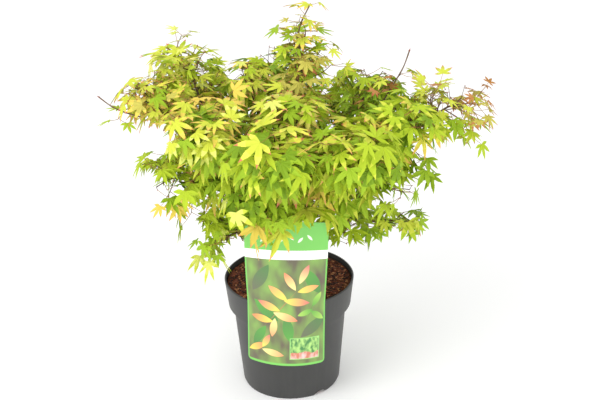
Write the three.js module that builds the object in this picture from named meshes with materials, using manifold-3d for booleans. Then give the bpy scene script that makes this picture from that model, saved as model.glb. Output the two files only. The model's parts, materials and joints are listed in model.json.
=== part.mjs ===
// A dwarf Japanese maple in a round nursery pot, as a group of named solids.
// Millimetres, +Z up. The origin is the centre of the pot's flat underside, and the
// viewer of the photograph stands on the -Y side.

import * as THREE from "three";
import { mergeVertices } from "three/addons/utils/BufferGeometryUtils.js";
import Module from "manifold-3d";

const wasm = await Module();
wasm.setup();

// Driving dimensions of the pot
const POT_HEIGHT = 169;
const RIM_RADIUS = 95;
const BAND_FOOT = { radius: 90.3, z: 128 };
const STEP_FOOT = { radius: 82.3, z: 117 };
const BASE_EDGE = { radius: 72.3, z: 4 };
const FOOT_RADIUS = 70.5;
const WALL = 1.6;
const LIP_WIDTH = 2.4;
const LIP_DEPTH = 4;
const FLOOR_THICKNESS = 2;
const POT_SIDES = 32;

// Drainage: notches in the edge of the base, and round holes in its floor
const NOTCH = { count: 3, width: 20, height: 6, depth: 14, firstAzimuth: 306 };
const DRAIN = { count: 4, radius: 6, ring: 42, firstAzimuth: 30 };

// Potting compost, 5 mm under the rim, with a low mound round the trunk
const SOIL_EDGE_Z = 162.5;
const SOIL_CROWN_Z = 165;
const TRUNK_SEAT_RADIUS = 16;

// The hanging label in front, hooked over the rim by a tongue: a card that is curved round the
// pot up to its rim, and from there flattens out to its free top edge
const LABEL = { width: 116.5, bottom: 72, top: 302, corner: 6, thickness: 0.6, azimuth: 266.4 };
const TONGUE = { width: 34, drop: 6.5, thickness: 0.6 };

// Trunk and limbs
const TRUNK_FORK_Z = 222;
const TRUNK_LEAN = { x: 5, y: -3 };
const TRUNK_RADIUS = { flare: 13.5, foot: 8.8, union: 9.4, fork: 6.8 };
const MAIN_RADIUS = { base: 4.2, tip: 2.1 };
const SIDE_RADIUS = { base: 2.6, tip: 1.8 };
const STEM_RADIUS = { base: 2.7, tip: 2.4 };
const STEM_STEPS = 3;
const TWIG_RADIUS = { base: 1.2, tip: 1 };

// Leaves: five pointed lobes. Each point of half an outline is given as its angle from the
// middle lobe and its share of that lobe's length.
const LEAF_LENGTH = 54;
const LEAF_PETIOLE = 18;
const LEAF_THICKNESS = 1.5;
const LEAF_DROOP = 0.2;
const HALF_OUTLINE = [
  { angle: 0, share: 1 },
  { angle: 21, share: 0.4 },
  { angle: 42, share: 0.88 },
  { angle: 66, share: 0.36 },
  { angle: 90, share: 0.62 },
  { angle: 150, share: 0.1 },
];

const LEAF_TRIES = 24; // poses tried for each leaf

const GAP = 0.3; // air between pieces that touch
const ROOT_DEPTH = 0.25; // how far past a twig's axis a petiole is sunk
const TWIG_SPACING = 2.8; // along the stem, between the roots of a pair of twigs
const ROOT_SPACING = 1.6; // along the twig, between the roots of a pair of leaves
const CROWN_HEART = new THREE.Vector3(0, 0, 320); // the point that the crown spreads from
const CLEAR_OF_CELL = 0.6; // air between a leaf and the plane shared with a neighbour

// The masses of foliage: the name; the azimuth in degrees from +X, the distance out and the
// height of the middle; the half sizes outwards, across and upwards; the limb that the mass's
// own bough leaves, and the share of that limb's length where it does; the number of leaves;
// and the tint
const foliage = (name, [azimuth, out, z], half, on, leave, leaves, tint) => {
  return { name, azimuth, out, z, half, on, leave, leaves, tint };
};
const MASSES = [
  foliage("top", [45, 30, 472], [76, 76, 70], "trunk", 0.95, 17, "gold"),
  foliage("left_wing", [186, 170, 440], [70, 78, 58], "trunk", 0.9, 16, "gold"),
  foliage("front", [264, 148, 404], [88, 82, 68], "trunk", 0.86, 16, "gold"),
  foliage("right", [343, 158, 402], [88, 82, 68], "trunk", 0.92, 17, "lime"),
  foliage("back", [92, 160, 404], [88, 86, 68], "trunk", 0.88, 16, "green"),
  foliage("upper_left", [157, 152, 480], [72, 70, 48], "left_wing", 0.5, 14, "gold"),
  foliage("upper_back", [132, 74, 440], [70, 72, 56], "back", 0.45, 14, "gold"),
  foliage("upper_right", [22, 120, 424], [78, 78, 56], "top", 0.35, 15, "lime"),
  foliage("left_front", [226, 146, 422], [84, 80, 64], "left_wing", 0.42, 17, "lime"),
  foliage("front_right", [302, 150, 396], [88, 82, 68], "front", 0.4, 18, "lime"),
  foliage("right_wing", [359, 218, 424], [76, 68, 54], "right", 0.62, 15, "lime"),
  foliage("back_right", [48, 160, 386], [88, 86, 66], "right", 0.36, 15, "green"),
  foliage("back_left", [136, 172, 400], [88, 86, 66], "back", 0.36, 15, "lime"),
  foliage("left_low", [196, 146, 346], [82, 78, 54], "left_wing", 0.3, 16, "lime"),
  foliage("front_low", [252, 92, 334], [76, 82, 52], "front", 0.16, 14, "lime"),
  foliage("right_low", [337, 134, 330], [80, 76, 56], "right", 0.3, 17, "green"),
  foliage("back_low", [88, 136, 312], [90, 90, 56], "back", 0.24, 15, "green"),
  foliage("low_left", [219, 100, 272], [70, 66, 52], "left_wing", 0.18, 12, "lime"),
  foliage("low_right", [5, 150, 250], [64, 58, 46], "right", 0.18, 10, "green"),
  foliage("upper_front", [276, 80, 420], [80, 84, 56], "front", 0.5, 14, "gold"),
  foliage("low_front", [335, 92, 258], [64, 62, 48], "right", 0.08, 10, "green"),
];

// Long shoots that stand out of the crown: where each ends, and its pairs of leaves
const SHOOTS = {
  top: { tip: [41, 20, 577], leafPairs: 3 },
  left_wing: { tip: [-258, 0, 453], leafPairs: 0 },
  upper_right: { tip: [176, 30, 501], leafPairs: 0 },
};

// The opposite pairs of side twigs on a mass's stem: where, how far they spread in degrees,
// how much each of the two rises, and their length as a share of the mass's half width
const TWIG_PAIRS = [
  { at: 0.42, spread: 64, rise: [-0.25, 0.2], length: 0.62 },
  { at: 0.76, spread: 50, rise: [0.4, 0.1], length: 0.56 },
];

const colours = {
  pot: { color: 0x2b2b2b, roughness: 0.55 },
  soil: { color: 0x3a2016, roughness: 0.95 },
  label: { color: 0x86d060, roughness: 0.35 },
  bark: { color: 0x5b4a35, roughness: 0.85 },
  gold: { color: 0xc9bc3c, roughness: 0.6 },
  lime: { color: 0x93bf2c, roughness: 0.6 },
  green: { color: 0x5f8f1e, roughness: 0.6 },
};
const materials = Object.fromEntries(
  Object.entries(colours).map(([name, look]) => [
    name,
    new THREE.MeshStandardMaterial({ metalness: 0, ...look }),
  ]),
);

const radians = THREE.MathUtils.degToRad;
const UP = new THREE.Vector3(0, 0, 1);

// A seeded random number between low and high
function seeded(seed) {
  let state = seed >>> 0;
  return (low = 0, high = 1) => {
    state = (state + 0x6d2b79f5) >>> 0;
    let t = state;
    t = Math.imul(t ^ (t >>> 15), t | 1);
    t ^= t + Math.imul(t ^ (t >>> 7), t | 61);
    return low + ((high - low) * ((t ^ (t >>> 14)) >>> 0)) / 4294967296;
  };
}

function toSolid(geometry) {
  const bare = geometry.index ? geometry.toNonIndexed() : geometry.clone();
  bare.deleteAttribute("normal");
  bare.deleteAttribute("uv");
  const merged = mergeVertices(bare, 1e-3);
  return new wasm.Manifold(
    new wasm.Mesh({
      numProp: 3,
      vertProperties: merged.attributes.position.array,
      triVerts: new Uint32Array(merged.index.array),
    }),
  );
}

function toGeometry(solid) {
  const { vertProperties, triVerts } = solid.getMesh();
  const geometry = new THREE.BufferGeometry();
  geometry.setAttribute("position", new THREE.BufferAttribute(vertProperties, 3));
  geometry.setIndex(new THREE.BufferAttribute(triVerts, 1));
  geometry.computeVertexNormals();
  return geometry;
}

function largestPiece(solid) {
  return solid.decompose().sort((a, b) => b.volume() - a.volume())[0];
}

function polar(azimuth, out, z) {
  const a = radians(azimuth);
  return new THREE.Vector3(out * Math.cos(a), out * Math.sin(a), z);
}

// A round profile of radius and height, turned round the Z axis
function turned(profile, sides = POT_SIDES) {
  const points = profile.map(([radius, z]) => new THREE.Vector2(radius, z));
  return new THREE.LatheGeometry(points, sides).rotateX(Math.PI / 2);
}

// A tapering limb: a cylinder bent along a curve, with radiusAt(t) from its start to its end
function limbGeometry(curve, radiusAt, sides, steps) {
  const geometry = new THREE.CylinderGeometry(1, 1, 1, sides, steps);
  const frames = curve.computeFrenetFrames(steps, false);
  const place = geometry.attributes.position;
  for (let i = 0; i < place.count; i++) {
    const step = Math.round((place.getY(i) + 0.5) * steps);
    const radius = radiusAt(step / steps);
    const point = curve
      .getPointAt(step / steps)
      .addScaledVector(frames.normals[step], place.getX(i) * radius)
      .addScaledVector(frames.binormals[step], -place.getZ(i) * radius);
    place.setXYZ(i, point.x, point.y, point.z);
  }
  return geometry;
}

// A point on the straight run between two of the stations that a limb is made of
function pointOn(curve, steps, share) {
  const station = Math.min(Math.floor(share * steps), steps - 1);
  const from = curve.getPointAt(station / steps);
  return from.lerp(curve.getPointAt((station + 1) / steps), share * steps - station);
}

const taper = (from, to) => (t) => THREE.MathUtils.lerp(from, to, t);

// The pot: a turned shell with a stepped rim, then its notches and drain holes cut out
function makePot() {
  const inner = (radius) => radius - WALL;
  const shell = toSolid(
    turned([
      [0, 0],
      [FOOT_RADIUS, 0],
      [BASE_EDGE.radius, BASE_EDGE.z],
      [STEP_FOOT.radius, STEP_FOOT.z],
      [BAND_FOOT.radius, BAND_FOOT.z],
      [RIM_RADIUS, POT_HEIGHT - 1],
      [RIM_RADIUS - 0.8, POT_HEIGHT],
      [RIM_RADIUS - LIP_WIDTH, POT_HEIGHT],
      [RIM_RADIUS - LIP_WIDTH - 0.2, POT_HEIGHT - LIP_DEPTH],
      [inner(BAND_FOOT.radius), BAND_FOOT.z],
      [inner(STEP_FOOT.radius), STEP_FOOT.z],
      [inner(BASE_EDGE.radius), FLOOR_THICKNESS + 3],
      [inner(BASE_EDGE.radius) - 3, FLOOR_THICKNESS],
      [0, FLOOR_THICKNESS],
    ]),
  );
  const cuts = [];
  for (let i = 0; i < NOTCH.count; i++) {
    const azimuth = radians(NOTCH.firstAzimuth + (360 / NOTCH.count) * i);
    const notch = new THREE.CylinderGeometry(NOTCH.width / 2, NOTCH.width / 2, NOTCH.depth, 12)
      .scale(1, 1, (2 * NOTCH.height) / NOTCH.width)
      .rotateZ(-Math.PI / 2)
      .translate(FOOT_RADIUS + 1, 0, 0)
      .rotateZ(azimuth);
    cuts.push(toSolid(notch));
  }
  for (let i = 0; i < DRAIN.count; i++) {
    const middle = polar(DRAIN.firstAzimuth + (360 / DRAIN.count) * i, DRAIN.ring, 0);
    const drain = new THREE.CylinderGeometry(DRAIN.radius, DRAIN.radius, 4 * FLOOR_THICKNESS, 8)
      .rotateX(Math.PI / 2)
      .translate(middle.x, middle.y, 0);
    cuts.push(toSolid(drain));
  }
  return toGeometry(shell.subtract(wasm.Manifold.union(cuts)));
}

// The compost fills the pot 0.3 mm clear of it, over a flat seat for the trunk
function makeSoil() {
  const inside = (station) => station.radius - WALL - GAP;
  const slope = (RIM_RADIUS - BAND_FOOT.radius) / (POT_HEIGHT - 1 - BAND_FOOT.z);
  const edge = inside(BAND_FOOT) + slope * (SOIL_EDGE_Z - BAND_FOOT.z) - 0.6;
  return turned([
    [0, FLOOR_THICKNESS + GAP],
    [inside(BASE_EDGE) - 3, FLOOR_THICKNESS + GAP],
    [inside(BASE_EDGE), FLOOR_THICKNESS + GAP + 3],
    [inside(STEP_FOOT), STEP_FOOT.z],
    [inside(BAND_FOOT), BAND_FOOT.z + GAP],
    [edge, SOIL_EDGE_Z - 2],
    [edge - 2, SOIL_EDGE_Z],
    [TRUNK_SEAT_RADIUS, SOIL_CROWN_Z],
    [0, SOIL_CROWN_Z],
  ]);
}

// A piece of a ring about the Z axis, between two radii and two heights
function ringSector(inner, outer, width, bottom, top, steps) {
  const half = width / 2 / inner;
  const middle = radians(LABEL.azimuth);
  const shape = new THREE.Shape();
  shape.absarc(0, 0, outer, middle - half, middle + half, false);
  shape.absarc(0, 0, inner, middle + half, middle - half, true);
  const geometry = new THREE.ExtrudeGeometry(shape, {
    depth: top - bottom,
    bevelEnabled: false,
    curveSegments: steps,
  });
  return geometry.translate(0, 0, bottom);
}

// A bent card about the label's middle line, between two radii. Each row is a height and half the
// card's width there.
function bentCard(inner, outer, rows) {
  const columns = 10;
  const card = new THREE.BoxGeometry(1, 1, 1, columns, 1, rows.length - 1);
  const places = card.getAttribute("position");
  for (let i = 0; i < places.count; i++) {
    const row = rows[Math.round((places.getZ(i) + 0.5) * (rows.length - 1))];
    const across = -2 * places.getX(i) * row.half;
    const out = places.getY(i) < 0 ? inner : outer;
    const risen = (row.z - POT_HEIGHT - 1) / (LABEL.top - POT_HEIGHT - 1);
    const free = THREE.MathUtils.clamp(risen, 0, 0.98);
    const radius = (RIM_RADIUS + GAP) / (1 - free);
    const turn = across / radius;
    const reach = radius + out - RIM_RADIUS - GAP;
    const x = RIM_RADIUS + GAP - radius + reach * Math.cos(turn);
    places.setXYZ(i, x, reach * Math.sin(turn), row.z);
  }
  return card.rotateZ(radians(LABEL.azimuth));
}

// The label: the card with its rounded corners, and the tongue that hooks it on the rim
function makeLabel() {
  const inner = RIM_RADIUS + GAP + 0.1;
  const { bottom, top, corner } = LABEL;
  const half = LABEL.width / 2;
  const rows = [
    { z: bottom, half: half - corner },
    { z: bottom + 0.3 * corner, half: half - 0.3 * corner },
    { z: bottom + corner, half },
    { z: POT_HEIGHT + 1, half },
    { z: POT_HEIGHT + 43, half },
    { z: POT_HEIGHT + 85, half },
    { z: top - corner, half },
    { z: top - 0.3 * corner, half: half - 0.3 * corner },
    { z: top, half: half - corner },
  ];
  const card = toSolid(bentCard(inner, inner + LABEL.thickness, rows));
  const hookTop = POT_HEIGHT + GAP + TONGUE.thickness;
  const hookInner = RIM_RADIUS - LIP_WIDTH - 1 - GAP - TONGUE.thickness;
  const bridge = ringSector(hookInner, inner + 0.3, TONGUE.width, POT_HEIGHT + GAP, hookTop, 3);
  const drop = ringSector(
    hookInner,
    hookInner + TONGUE.thickness,
    TONGUE.width,
    POT_HEIGHT - TONGUE.drop,
    hookTop,
    3,
  );
  const hook = toSolid(bridge).add(toSolid(drop));
  return toGeometry(card.add(hook));
}

// The air kept free round the label, and round the pot and over its compost
function labelSurround() {
  const half = LABEL.width / 2 + 4;
  const heights = [0, POT_HEIGHT + 1, POT_HEIGHT + 43, POT_HEIGHT + 85, LABEL.top + 4];
  return toSolid(bentCard(RIM_RADIUS - 2, RIM_RADIUS + 4, heights.map((z) => ({ z, half }))));
}
function potSurround() {
  const radius = RIM_RADIUS + 4;
  const top = POT_HEIGHT + 4;
  return toSolid(turned([[0, 0], [radius, 0], [radius, top], [0, top]], 24));
}

// The trunk: a flat cut on the compost, a root flare, a slight swelling where it was
// grafted, and a domed fork
const trunkFoot = new THREE.Vector3(0, 0, SOIL_CROWN_Z + GAP);
const trunkFork = new THREE.Vector3(TRUNK_LEAN.x, TRUNK_LEAN.y, TRUNK_FORK_Z);
const trunkCurve = new THREE.CatmullRomCurve3([
  trunkFoot,
  new THREE.Vector3(-1.5, 1, THREE.MathUtils.lerp(trunkFoot.z, TRUNK_FORK_Z, 0.35)),
  new THREE.Vector3(2.5, -1, THREE.MathUtils.lerp(trunkFoot.z, TRUNK_FORK_Z, 0.7)),
  trunkFork,
]);
function trunkRadius(t) {
  const flare = (TRUNK_RADIUS.flare - TRUNK_RADIUS.foot) * Math.exp(-9 * t);
  const swelling = (TRUNK_RADIUS.union - TRUNK_RADIUS.fork) * Math.exp(-(((t - 0.45) / 0.12) ** 2));
  const dome = t > 0.97 ? 0.72 : 1;
  const straight = THREE.MathUtils.lerp(TRUNK_RADIUS.foot, TRUNK_RADIUS.fork, t);
  return (straight + flare + 0.5 * swelling) * dome;
}
function makeTrunk(extra = 0) {
  const geometry = limbGeometry(trunkCurve, (t) => trunkRadius(t) + extra, 10, 11);
  const place = geometry.attributes.position;
  for (let i = 0; i < place.count; i++) {
    // the foot's ring is set level, for a flat cut
    if (place.getZ(i) < trunkFoot.z + 2) place.setZ(i, trunkFoot.z - extra);
  }
  return geometry;
}

// Solids that foliage has to keep clear of, each with its box
const obstacles = [];
function addObstacle(solid) {
  obstacles.push({ solid, box: solid.boundingBox() });
}

function boxesMeet(a, b) {
  return [0, 1, 2].every((k) => a.min[k] <= b.max[k] && b.min[k] <= a.max[k]);
}

// Whether a solid shares more than the given volume with any of the others
function crosses(solid, others, volume) {
  const box = solid.boundingBox();
  return others.some(
    (other) => boxesMeet(box, other.box) && solid.intersect(other.solid).volume() > volume,
  );
}

// Limbs. A main bough leaves the trunk under its fork, and a side bough leaves a main bough.
// Each climbs first and then bends out to where it enters its mass.
const limbs = new Map();

const middleOf = (mass) => polar(mass.azimuth, mass.out, mass.z);

// The point of a mass's ellipsoid, drawn in to two thirds, that faces the limb's start
function entryOf(mass, from) {
  const middle = middleOf(mass);
  const back = from.clone().sub(middle).normalize();
  const reach = 0.5 * Math.min(mass.half[0], mass.half[1]);
  const drop = Math.min(0.5 * mass.half[2], Math.abs(back.z) * reach);
  return middle.add(new THREE.Vector3(back.x * reach, back.y * reach, Math.sign(back.z) * drop));
}

function limbStart(mass) {
  if (mass.on === "trunk") {
    const start = trunkCurve.getPointAt(mass.leave);
    const heading = middleOf(mass).sub(start).setZ(0).normalize().multiplyScalar(0.6).add(UP);
    return { start, heading: heading.normalize() };
  }
  const parent = limbs.get(mass.on).curve;
  const start = parent.getPointAt(mass.leave);
  const heading = middleOf(mass).sub(start).normalize();
  return { start, heading: heading.addScaledVector(parent.getTangentAt(mass.leave), 0.8).normalize() };
}

function makeLimb(mass) {
  const isMain = mass.on === "trunk";
  const radius = isMain ? MAIN_RADIUS : SIDE_RADIUS;
  const { start, heading } = limbStart(mass);
  const end = entryOf(mass, start);
  const bend = start.clone().addScaledVector(heading, 0.5 * end.distanceTo(start));
  const curve = new THREE.QuadraticBezierCurve3(start, bend, end);
  const steps = isMain ? 6 : 3;
  const sides = isMain ? 6 : 5;
  const radiusAt = taper(radius.base, radius.tip);
  const body = toSolid(limbGeometry(curve, radiusAt, sides, steps));
  const fat = toSolid(limbGeometry(curve, (t) => radiusAt(t) + GAP, sides, steps));
  const box = body.boundingBox();
  const carriers = obstacles.filter((other) => boxesMeet(box, other.box)).map((other) => other.solid);
  const solid = largestPiece(body.subtract(wasm.Manifold.union(carriers)));
  limbs.set(mass.name, { curve, radiusAt, solid });
  addObstacle(fat);
}

// The space that a mass keeps to: its own ellipsoid, inside the planes that it shares with
// its neighbours
function spaceOf(mass) {
  const turn = radians(mass.azimuth);
  return {
    middle: middleOf(mass),
    outwards: new THREE.Vector3(Math.cos(turn), Math.sin(turn), 0),
    across: new THREE.Vector3(-Math.sin(turn), Math.cos(turn), 0),
    size: Math.cbrt(mass.half[0] * mass.half[1] * mass.half[2]),
  };
}

const spaces = new Map(MASSES.map((mass) => [mass.name, spaceOf(mass)]));

// How far a point lies inside the planes shared with the neighbours. On a plane, both
// squared distances less the squared sizes are equal.
function depthInCell(mass, point) {
  const own = spaces.get(mass.name);
  let depth = Infinity;
  for (const [name, other] of spaces) {
    if (name === mass.name) continue;
    const ownPower = point.distanceToSquared(own.middle) - own.size ** 2;
    const otherPower = point.distanceToSquared(other.middle) - other.size ** 2;
    depth = Math.min(depth, (otherPower - ownPower) / (2 * own.middle.distanceTo(other.middle)));
  }
  return depth;
}

function insideEllipsoid(mass, point) {
  const { middle, outwards, across } = spaces.get(mass.name);
  const from = point.clone().sub(middle);
  const [out, side, up] = mass.half;
  return Math.hypot(from.dot(outwards) / out, from.dot(across) / side, from.z / up) <= 1;
}

// A leaf: a thin body with one peak above and one below, drawn to the points of its outline.
// Its lobes spread from the joint, and its petiole runs back to the root in a twig.
function makeLeaf({ root, joint, along, normal, length }) {
  const side = new THREE.Vector3().crossVectors(normal, along).normalize();
  const face = new THREE.Vector3().crossVectors(along, side).normalize();
  const place = (x, y, z) =>
    joint.clone().addScaledVector(along, x).addScaledVector(side, y).addScaledVector(face, z);
  const lobePoint = ({ angle, share }, hand) => {
    const reach = share * length;
    const turn = radians(angle) * hand;
    return place(reach * Math.cos(turn), reach * Math.sin(turn), -LEAF_DROOP * share * reach);
  };
  const petiole = root.clone().sub(joint).normalize();
  // the petiole has to run back between the two lowest lobes
  const back = -petiole.dot(along);
  const isStraight = back > 0.55 && Math.abs(petiole.dot(side)) < 0.42 * back;
  const rim = [
    ...HALF_OUTLINE.map((point) => lobePoint(point, 1)),
    root.clone().addScaledVector(petiole, ROOT_DEPTH),
    ...HALF_OUTLINE.slice(1).reverse().map((point) => lobePoint(point, -1)),
  ];
  const peak = place(0.04 * length, 0, LEAF_THICKNESS / 2);
  const keel = place(0.04 * length, 0, -LEAF_THICKNESS / 2);
  const corners = rim.flatMap((point, i) => {
    const next = rim[(i + 1) % rim.length];
    return [peak, point, next, keel, next, point].flatMap((corner) => corner.toArray());
  });
  const geometry = new THREE.BufferGeometry();
  geometry.setAttribute("position", new THREE.Float32BufferAttribute(corners, 3));
  return { geometry, rim, isStraight, heart: place(0.4 * length, 0, -0.04 * length) };
}

// A leaf's pose at a node of a twig: its petiole spreads off to one hand of the twig, and
// the blade hangs from the petiole's end
function poseLeaf(random, node, twigAlong, hand, length) {
  const sideways = new THREE.Vector3(-twigAlong.y, twigAlong.x, 0.001).normalize();
  const upwards = new THREE.Vector3().crossVectors(twigAlong, sideways).negate();
  const spread = radians(hand === 0 ? random(0, 25) : random(35, 85));
  const roll = radians(random(-60, 60)) + (hand < 0 ? Math.PI : 0);
  const reach = twigAlong.clone().multiplyScalar(Math.cos(spread));
  reach.addScaledVector(sideways, Math.sin(spread) * Math.cos(roll));
  reach.addScaledVector(upwards, Math.sin(spread) * Math.sin(roll));
  reach.setZ(THREE.MathUtils.clamp(reach.z, -0.45, 0.4)).normalize();
  const joint = node.clone().addScaledVector(reach, LEAF_PETIOLE * random(0.7, 1.35));
  const away = joint.clone().sub(CROWN_HEART).setZ(0).normalize();
  const level = reach.clone().setZ(0).normalize();
  const yaw = THREE.MathUtils.clamp(away.dot(new THREE.Vector3(-level.y, level.x, 0)), -0.3, 0.3);
  const pitch = Math.max(Math.asin(reach.z) - radians(random(8, 52)), radians(-65));
  const along = level.applyAxisAngle(UP, yaw).multiplyScalar(Math.cos(pitch));
  along.addScaledVector(UP, Math.sin(pitch));
  const normal = UP.clone().addScaledVector(away, random(0, 0.35));
  normal.addScaledVector(along, -normal.dot(along)).normalize();
  return { root: node, joint, along, normal, length: length * random(0.84, 1.08) };
}

// The best placed of several poses that keep to the mass's space: the one farthest from the
// leaves already there. None is kept if all of them touch a limb, a twig or a leaf.
function addLeaf(mass, random, wood, leaves, { node, along, hand, size, free }) {
  const fitting = [];
  for (let i = 0; i < LEAF_TRIES; i++) {
    const length = LEAF_LENGTH * size * (1 - 0.012 * i);
    const leaf = makeLeaf(poseLeaf(random, node, along, hand, length));
    const fits = leaf.isStraight && leaf.rim.every(
      (point) => depthInCell(mass, point) > CLEAR_OF_CELL && (free || insideEllipsoid(mass, point)),
    );
    if (!fits) continue;
    leaf.room = Math.min(80, ...leaves.map((other) => other.heart.distanceTo(leaf.heart)));
    fitting.push(leaf);
  }
  fitting.sort((a, b) => b.room - a.room);
  for (const leaf of fitting) {
    const solid = toSolid(leaf.geometry);
    if (crosses(solid, obstacles, 0)) continue;
    if (crosses(solid, wood, 0.05) || crosses(solid, leaves, 0)) continue;
    leaves.push({ ...leaf, solid, box: solid.boundingBox() });
    return;
  }
}

function addWood(wood, curve, radiusAt, steps) {
  const solid = toSolid(limbGeometry(curve, radiusAt, 3, steps));
  wood.push({ solid, box: solid.boundingBox() });
}

// A side twig, shortened until it keeps to the mass's space and clear of the limbs
function sideTwig(mass, node, heading, fullLength) {
  for (const share of [1, 0.8, 0.64, 0.5, 0.4]) {
    const tip = node.clone().addScaledVector(heading, share * fullLength);
    const curve = new THREE.LineCurve3(node, tip);
    if (depthInCell(mass, tip) < 3 || !insideEllipsoid(mass, tip)) continue;
    const fat = toSolid(limbGeometry(curve, () => TWIG_RADIUS.base + GAP, 3, 1));
    if (!crosses(fat, obstacles, 0)) return curve;
  }
  return null;
}

// One mass: a stem on from its bough's tip, side twigs in opposite pairs along it, and
// leaves in opposite pairs along the twigs. The outermost leaves are set first.
function growMass(mass) {
  const random = seeded(MASSES.indexOf(mass) + 11);
  const { curve: bough, radiusAt } = limbs.get(mass.name);
  const { middle } = spaces.get(mass.name);
  const outward = middle.clone().sub(CROWN_HEART).normalize();
  const wood = [];
  const leaves = [];

  const from = bough.getPointAt(1).addScaledVector(bough.getTangentAt(1), GAP);
  const reach = from.distanceTo(middle);
  const stem = new THREE.CubicBezierCurve3(
    from,
    from.clone().addScaledVector(bough.getTangentAt(1), 0.45 * reach),
    middle.clone().addScaledVector(outward, -0.1 * mass.half[0]),
    middle.clone().addScaledVector(outward, 0.26 * mass.half[0]),
  );
  addWood(wood, stem, taper(STEM_RADIUS.base, STEM_RADIUS.tip), STEM_STEPS);

  const sockets = [];
  const pairAt = (curve, steps, share, size, free) => {
    const along = curve.getTangentAt(share);
    for (const hand of [1, -1]) {
      const node = pointOn(curve, steps, share).addScaledVector(along, (hand * ROOT_SPACING) / 2);
      sockets.push({ node, along, hand, size, free });
    }
  };
  for (const { at, spread, rise, length } of TWIG_PAIRS) {
    for (const hand of [1, -1]) {
      const along = stem.getTangentAt(at);
      const node = pointOn(stem, STEM_STEPS, at).addScaledVector(along, (hand * TWIG_SPACING) / 2);
      const heading = along
        .clone()
        .applyAxisAngle(UP, radians(spread + random(-8, 8)) * hand)
        .addScaledVector(UP, rise[hand > 0 ? 0 : 1] + random(-0.12, 0.12))
        .normalize();
      const twig = sideTwig(mass, node, heading, length * mass.half[1]);
      if (!twig) continue;
      addWood(wood, twig, taper(TWIG_RADIUS.base, TWIG_RADIUS.tip), 1);
      pairAt(twig, 1, 0.94, 1, false);
      pairAt(twig, 1, 0.5, 0.95, false);
    }
  }
  pairAt(stem, STEM_STEPS, 0.96, 1, false);
  for (const share of [0.3, 0.6]) pairAt(stem, STEM_STEPS, share, 0.95, false);

  const shoot = SHOOTS[mass.name];
  if (shoot) {
    const tip = new THREE.Vector3(...shoot.tip);
    const foot = pointOn(stem, STEM_STEPS, 0.9);
    const bow = foot.clone().lerp(tip, 0.5).addScaledVector(UP, -6);
    const curve = new THREE.QuadraticBezierCurve3(foot, bow, tip);
    addWood(wood, curve, taper(TWIG_RADIUS.base, TWIG_RADIUS.tip), 3);
    const bud = toSolid(new THREE.OctahedronGeometry(2.6).translate(...shoot.tip));
    wood.push({ solid: bud, box: bud.boundingBox() });
    for (let i = shoot.leafPairs; i >= 1; i--) {
      pairAt(curve, 3, 0.35 + (0.6 * i) / shoot.leafPairs, 0.6, true);
    }
  }
  sockets.sort((a, b) => b.node.distanceTo(CROWN_HEART) - a.node.distanceTo(CROWN_HEART));
  const most = mass.leaves + (shoot ? 2 * shoot.leafPairs : 0);
  // a second round sets smaller leaves where there is still room
  for (const share of [1, 0.8]) {
    for (const socket of sockets) {
      if (leaves.length === most) break;
      addLeaf(mass, random, wood, leaves, { ...socket, size: share * socket.size });
    }
  }
  return largestPiece(wasm.Manifold.union([...wood, ...leaves].map((piece) => piece.solid)));
}

const maple = new THREE.Group();
function add(name, geometry, material) {
  const mesh = new THREE.Mesh(geometry, material);
  mesh.name = name;
  maple.add(mesh);
}

add("pot", makePot(), materials.pot);
add("compost", makeSoil(), materials.soil);
add("label", makeLabel(), materials.label);
add("trunk", makeTrunk(), materials.bark);
addObstacle(toSolid(makeTrunk(GAP)));
for (const mass of MASSES) {
  makeLimb(mass);
  add(`bough_${mass.name}`, toGeometry(limbs.get(mass.name).solid), materials.bark);
}
addObstacle(labelSurround());
addObstacle(potSurround());
for (const mass of MASSES) {
  add(`foliage_${mass.name}`, toGeometry(growMass(mass)), materials[mass.tint]);
}

export default maple;
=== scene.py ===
"""A young Japanese maple in a nursery pot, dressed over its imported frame.

The sizes are in metres, like the frame's. The crown's rule is worked out in millimetres, as in
the part's source, and is scaled when its meshes are made.
"""

import json
import math

import bmesh
import bpy
import numpy as np
from bpy.props import FloatProperty, FloatVectorProperty, IntProperty, PointerProperty
from mathutils import Matrix, Vector
from mathutils.bvhtree import BVHTree

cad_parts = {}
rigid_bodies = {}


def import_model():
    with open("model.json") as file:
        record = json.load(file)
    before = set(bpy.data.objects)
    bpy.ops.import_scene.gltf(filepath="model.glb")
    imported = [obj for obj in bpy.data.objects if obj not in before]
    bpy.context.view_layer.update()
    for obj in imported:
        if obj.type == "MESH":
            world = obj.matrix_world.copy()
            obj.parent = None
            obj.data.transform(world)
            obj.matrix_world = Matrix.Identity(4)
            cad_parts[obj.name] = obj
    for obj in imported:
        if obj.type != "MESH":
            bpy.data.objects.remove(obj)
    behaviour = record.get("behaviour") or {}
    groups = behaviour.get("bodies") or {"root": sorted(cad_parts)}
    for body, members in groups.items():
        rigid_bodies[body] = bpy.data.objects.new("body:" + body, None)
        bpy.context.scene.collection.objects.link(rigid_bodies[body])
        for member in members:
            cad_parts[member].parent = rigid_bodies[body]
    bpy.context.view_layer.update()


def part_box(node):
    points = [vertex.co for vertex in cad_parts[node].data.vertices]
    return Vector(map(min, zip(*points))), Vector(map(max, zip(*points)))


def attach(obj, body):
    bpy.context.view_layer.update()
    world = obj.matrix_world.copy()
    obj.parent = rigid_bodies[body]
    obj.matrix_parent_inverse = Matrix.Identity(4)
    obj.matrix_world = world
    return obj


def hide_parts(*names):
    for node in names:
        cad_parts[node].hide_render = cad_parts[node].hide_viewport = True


bl_info = {
    "name": "Potted maple",
    "version": (1, 0, 0),
    "blender": (4, 5, 0),
    "location": "3D View > Sidebar > Maple",
    "description": "Builds a young maple in a nursery pot, piece by piece",
    "category": "Add Mesh",
}

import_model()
MM = 0.001

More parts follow.
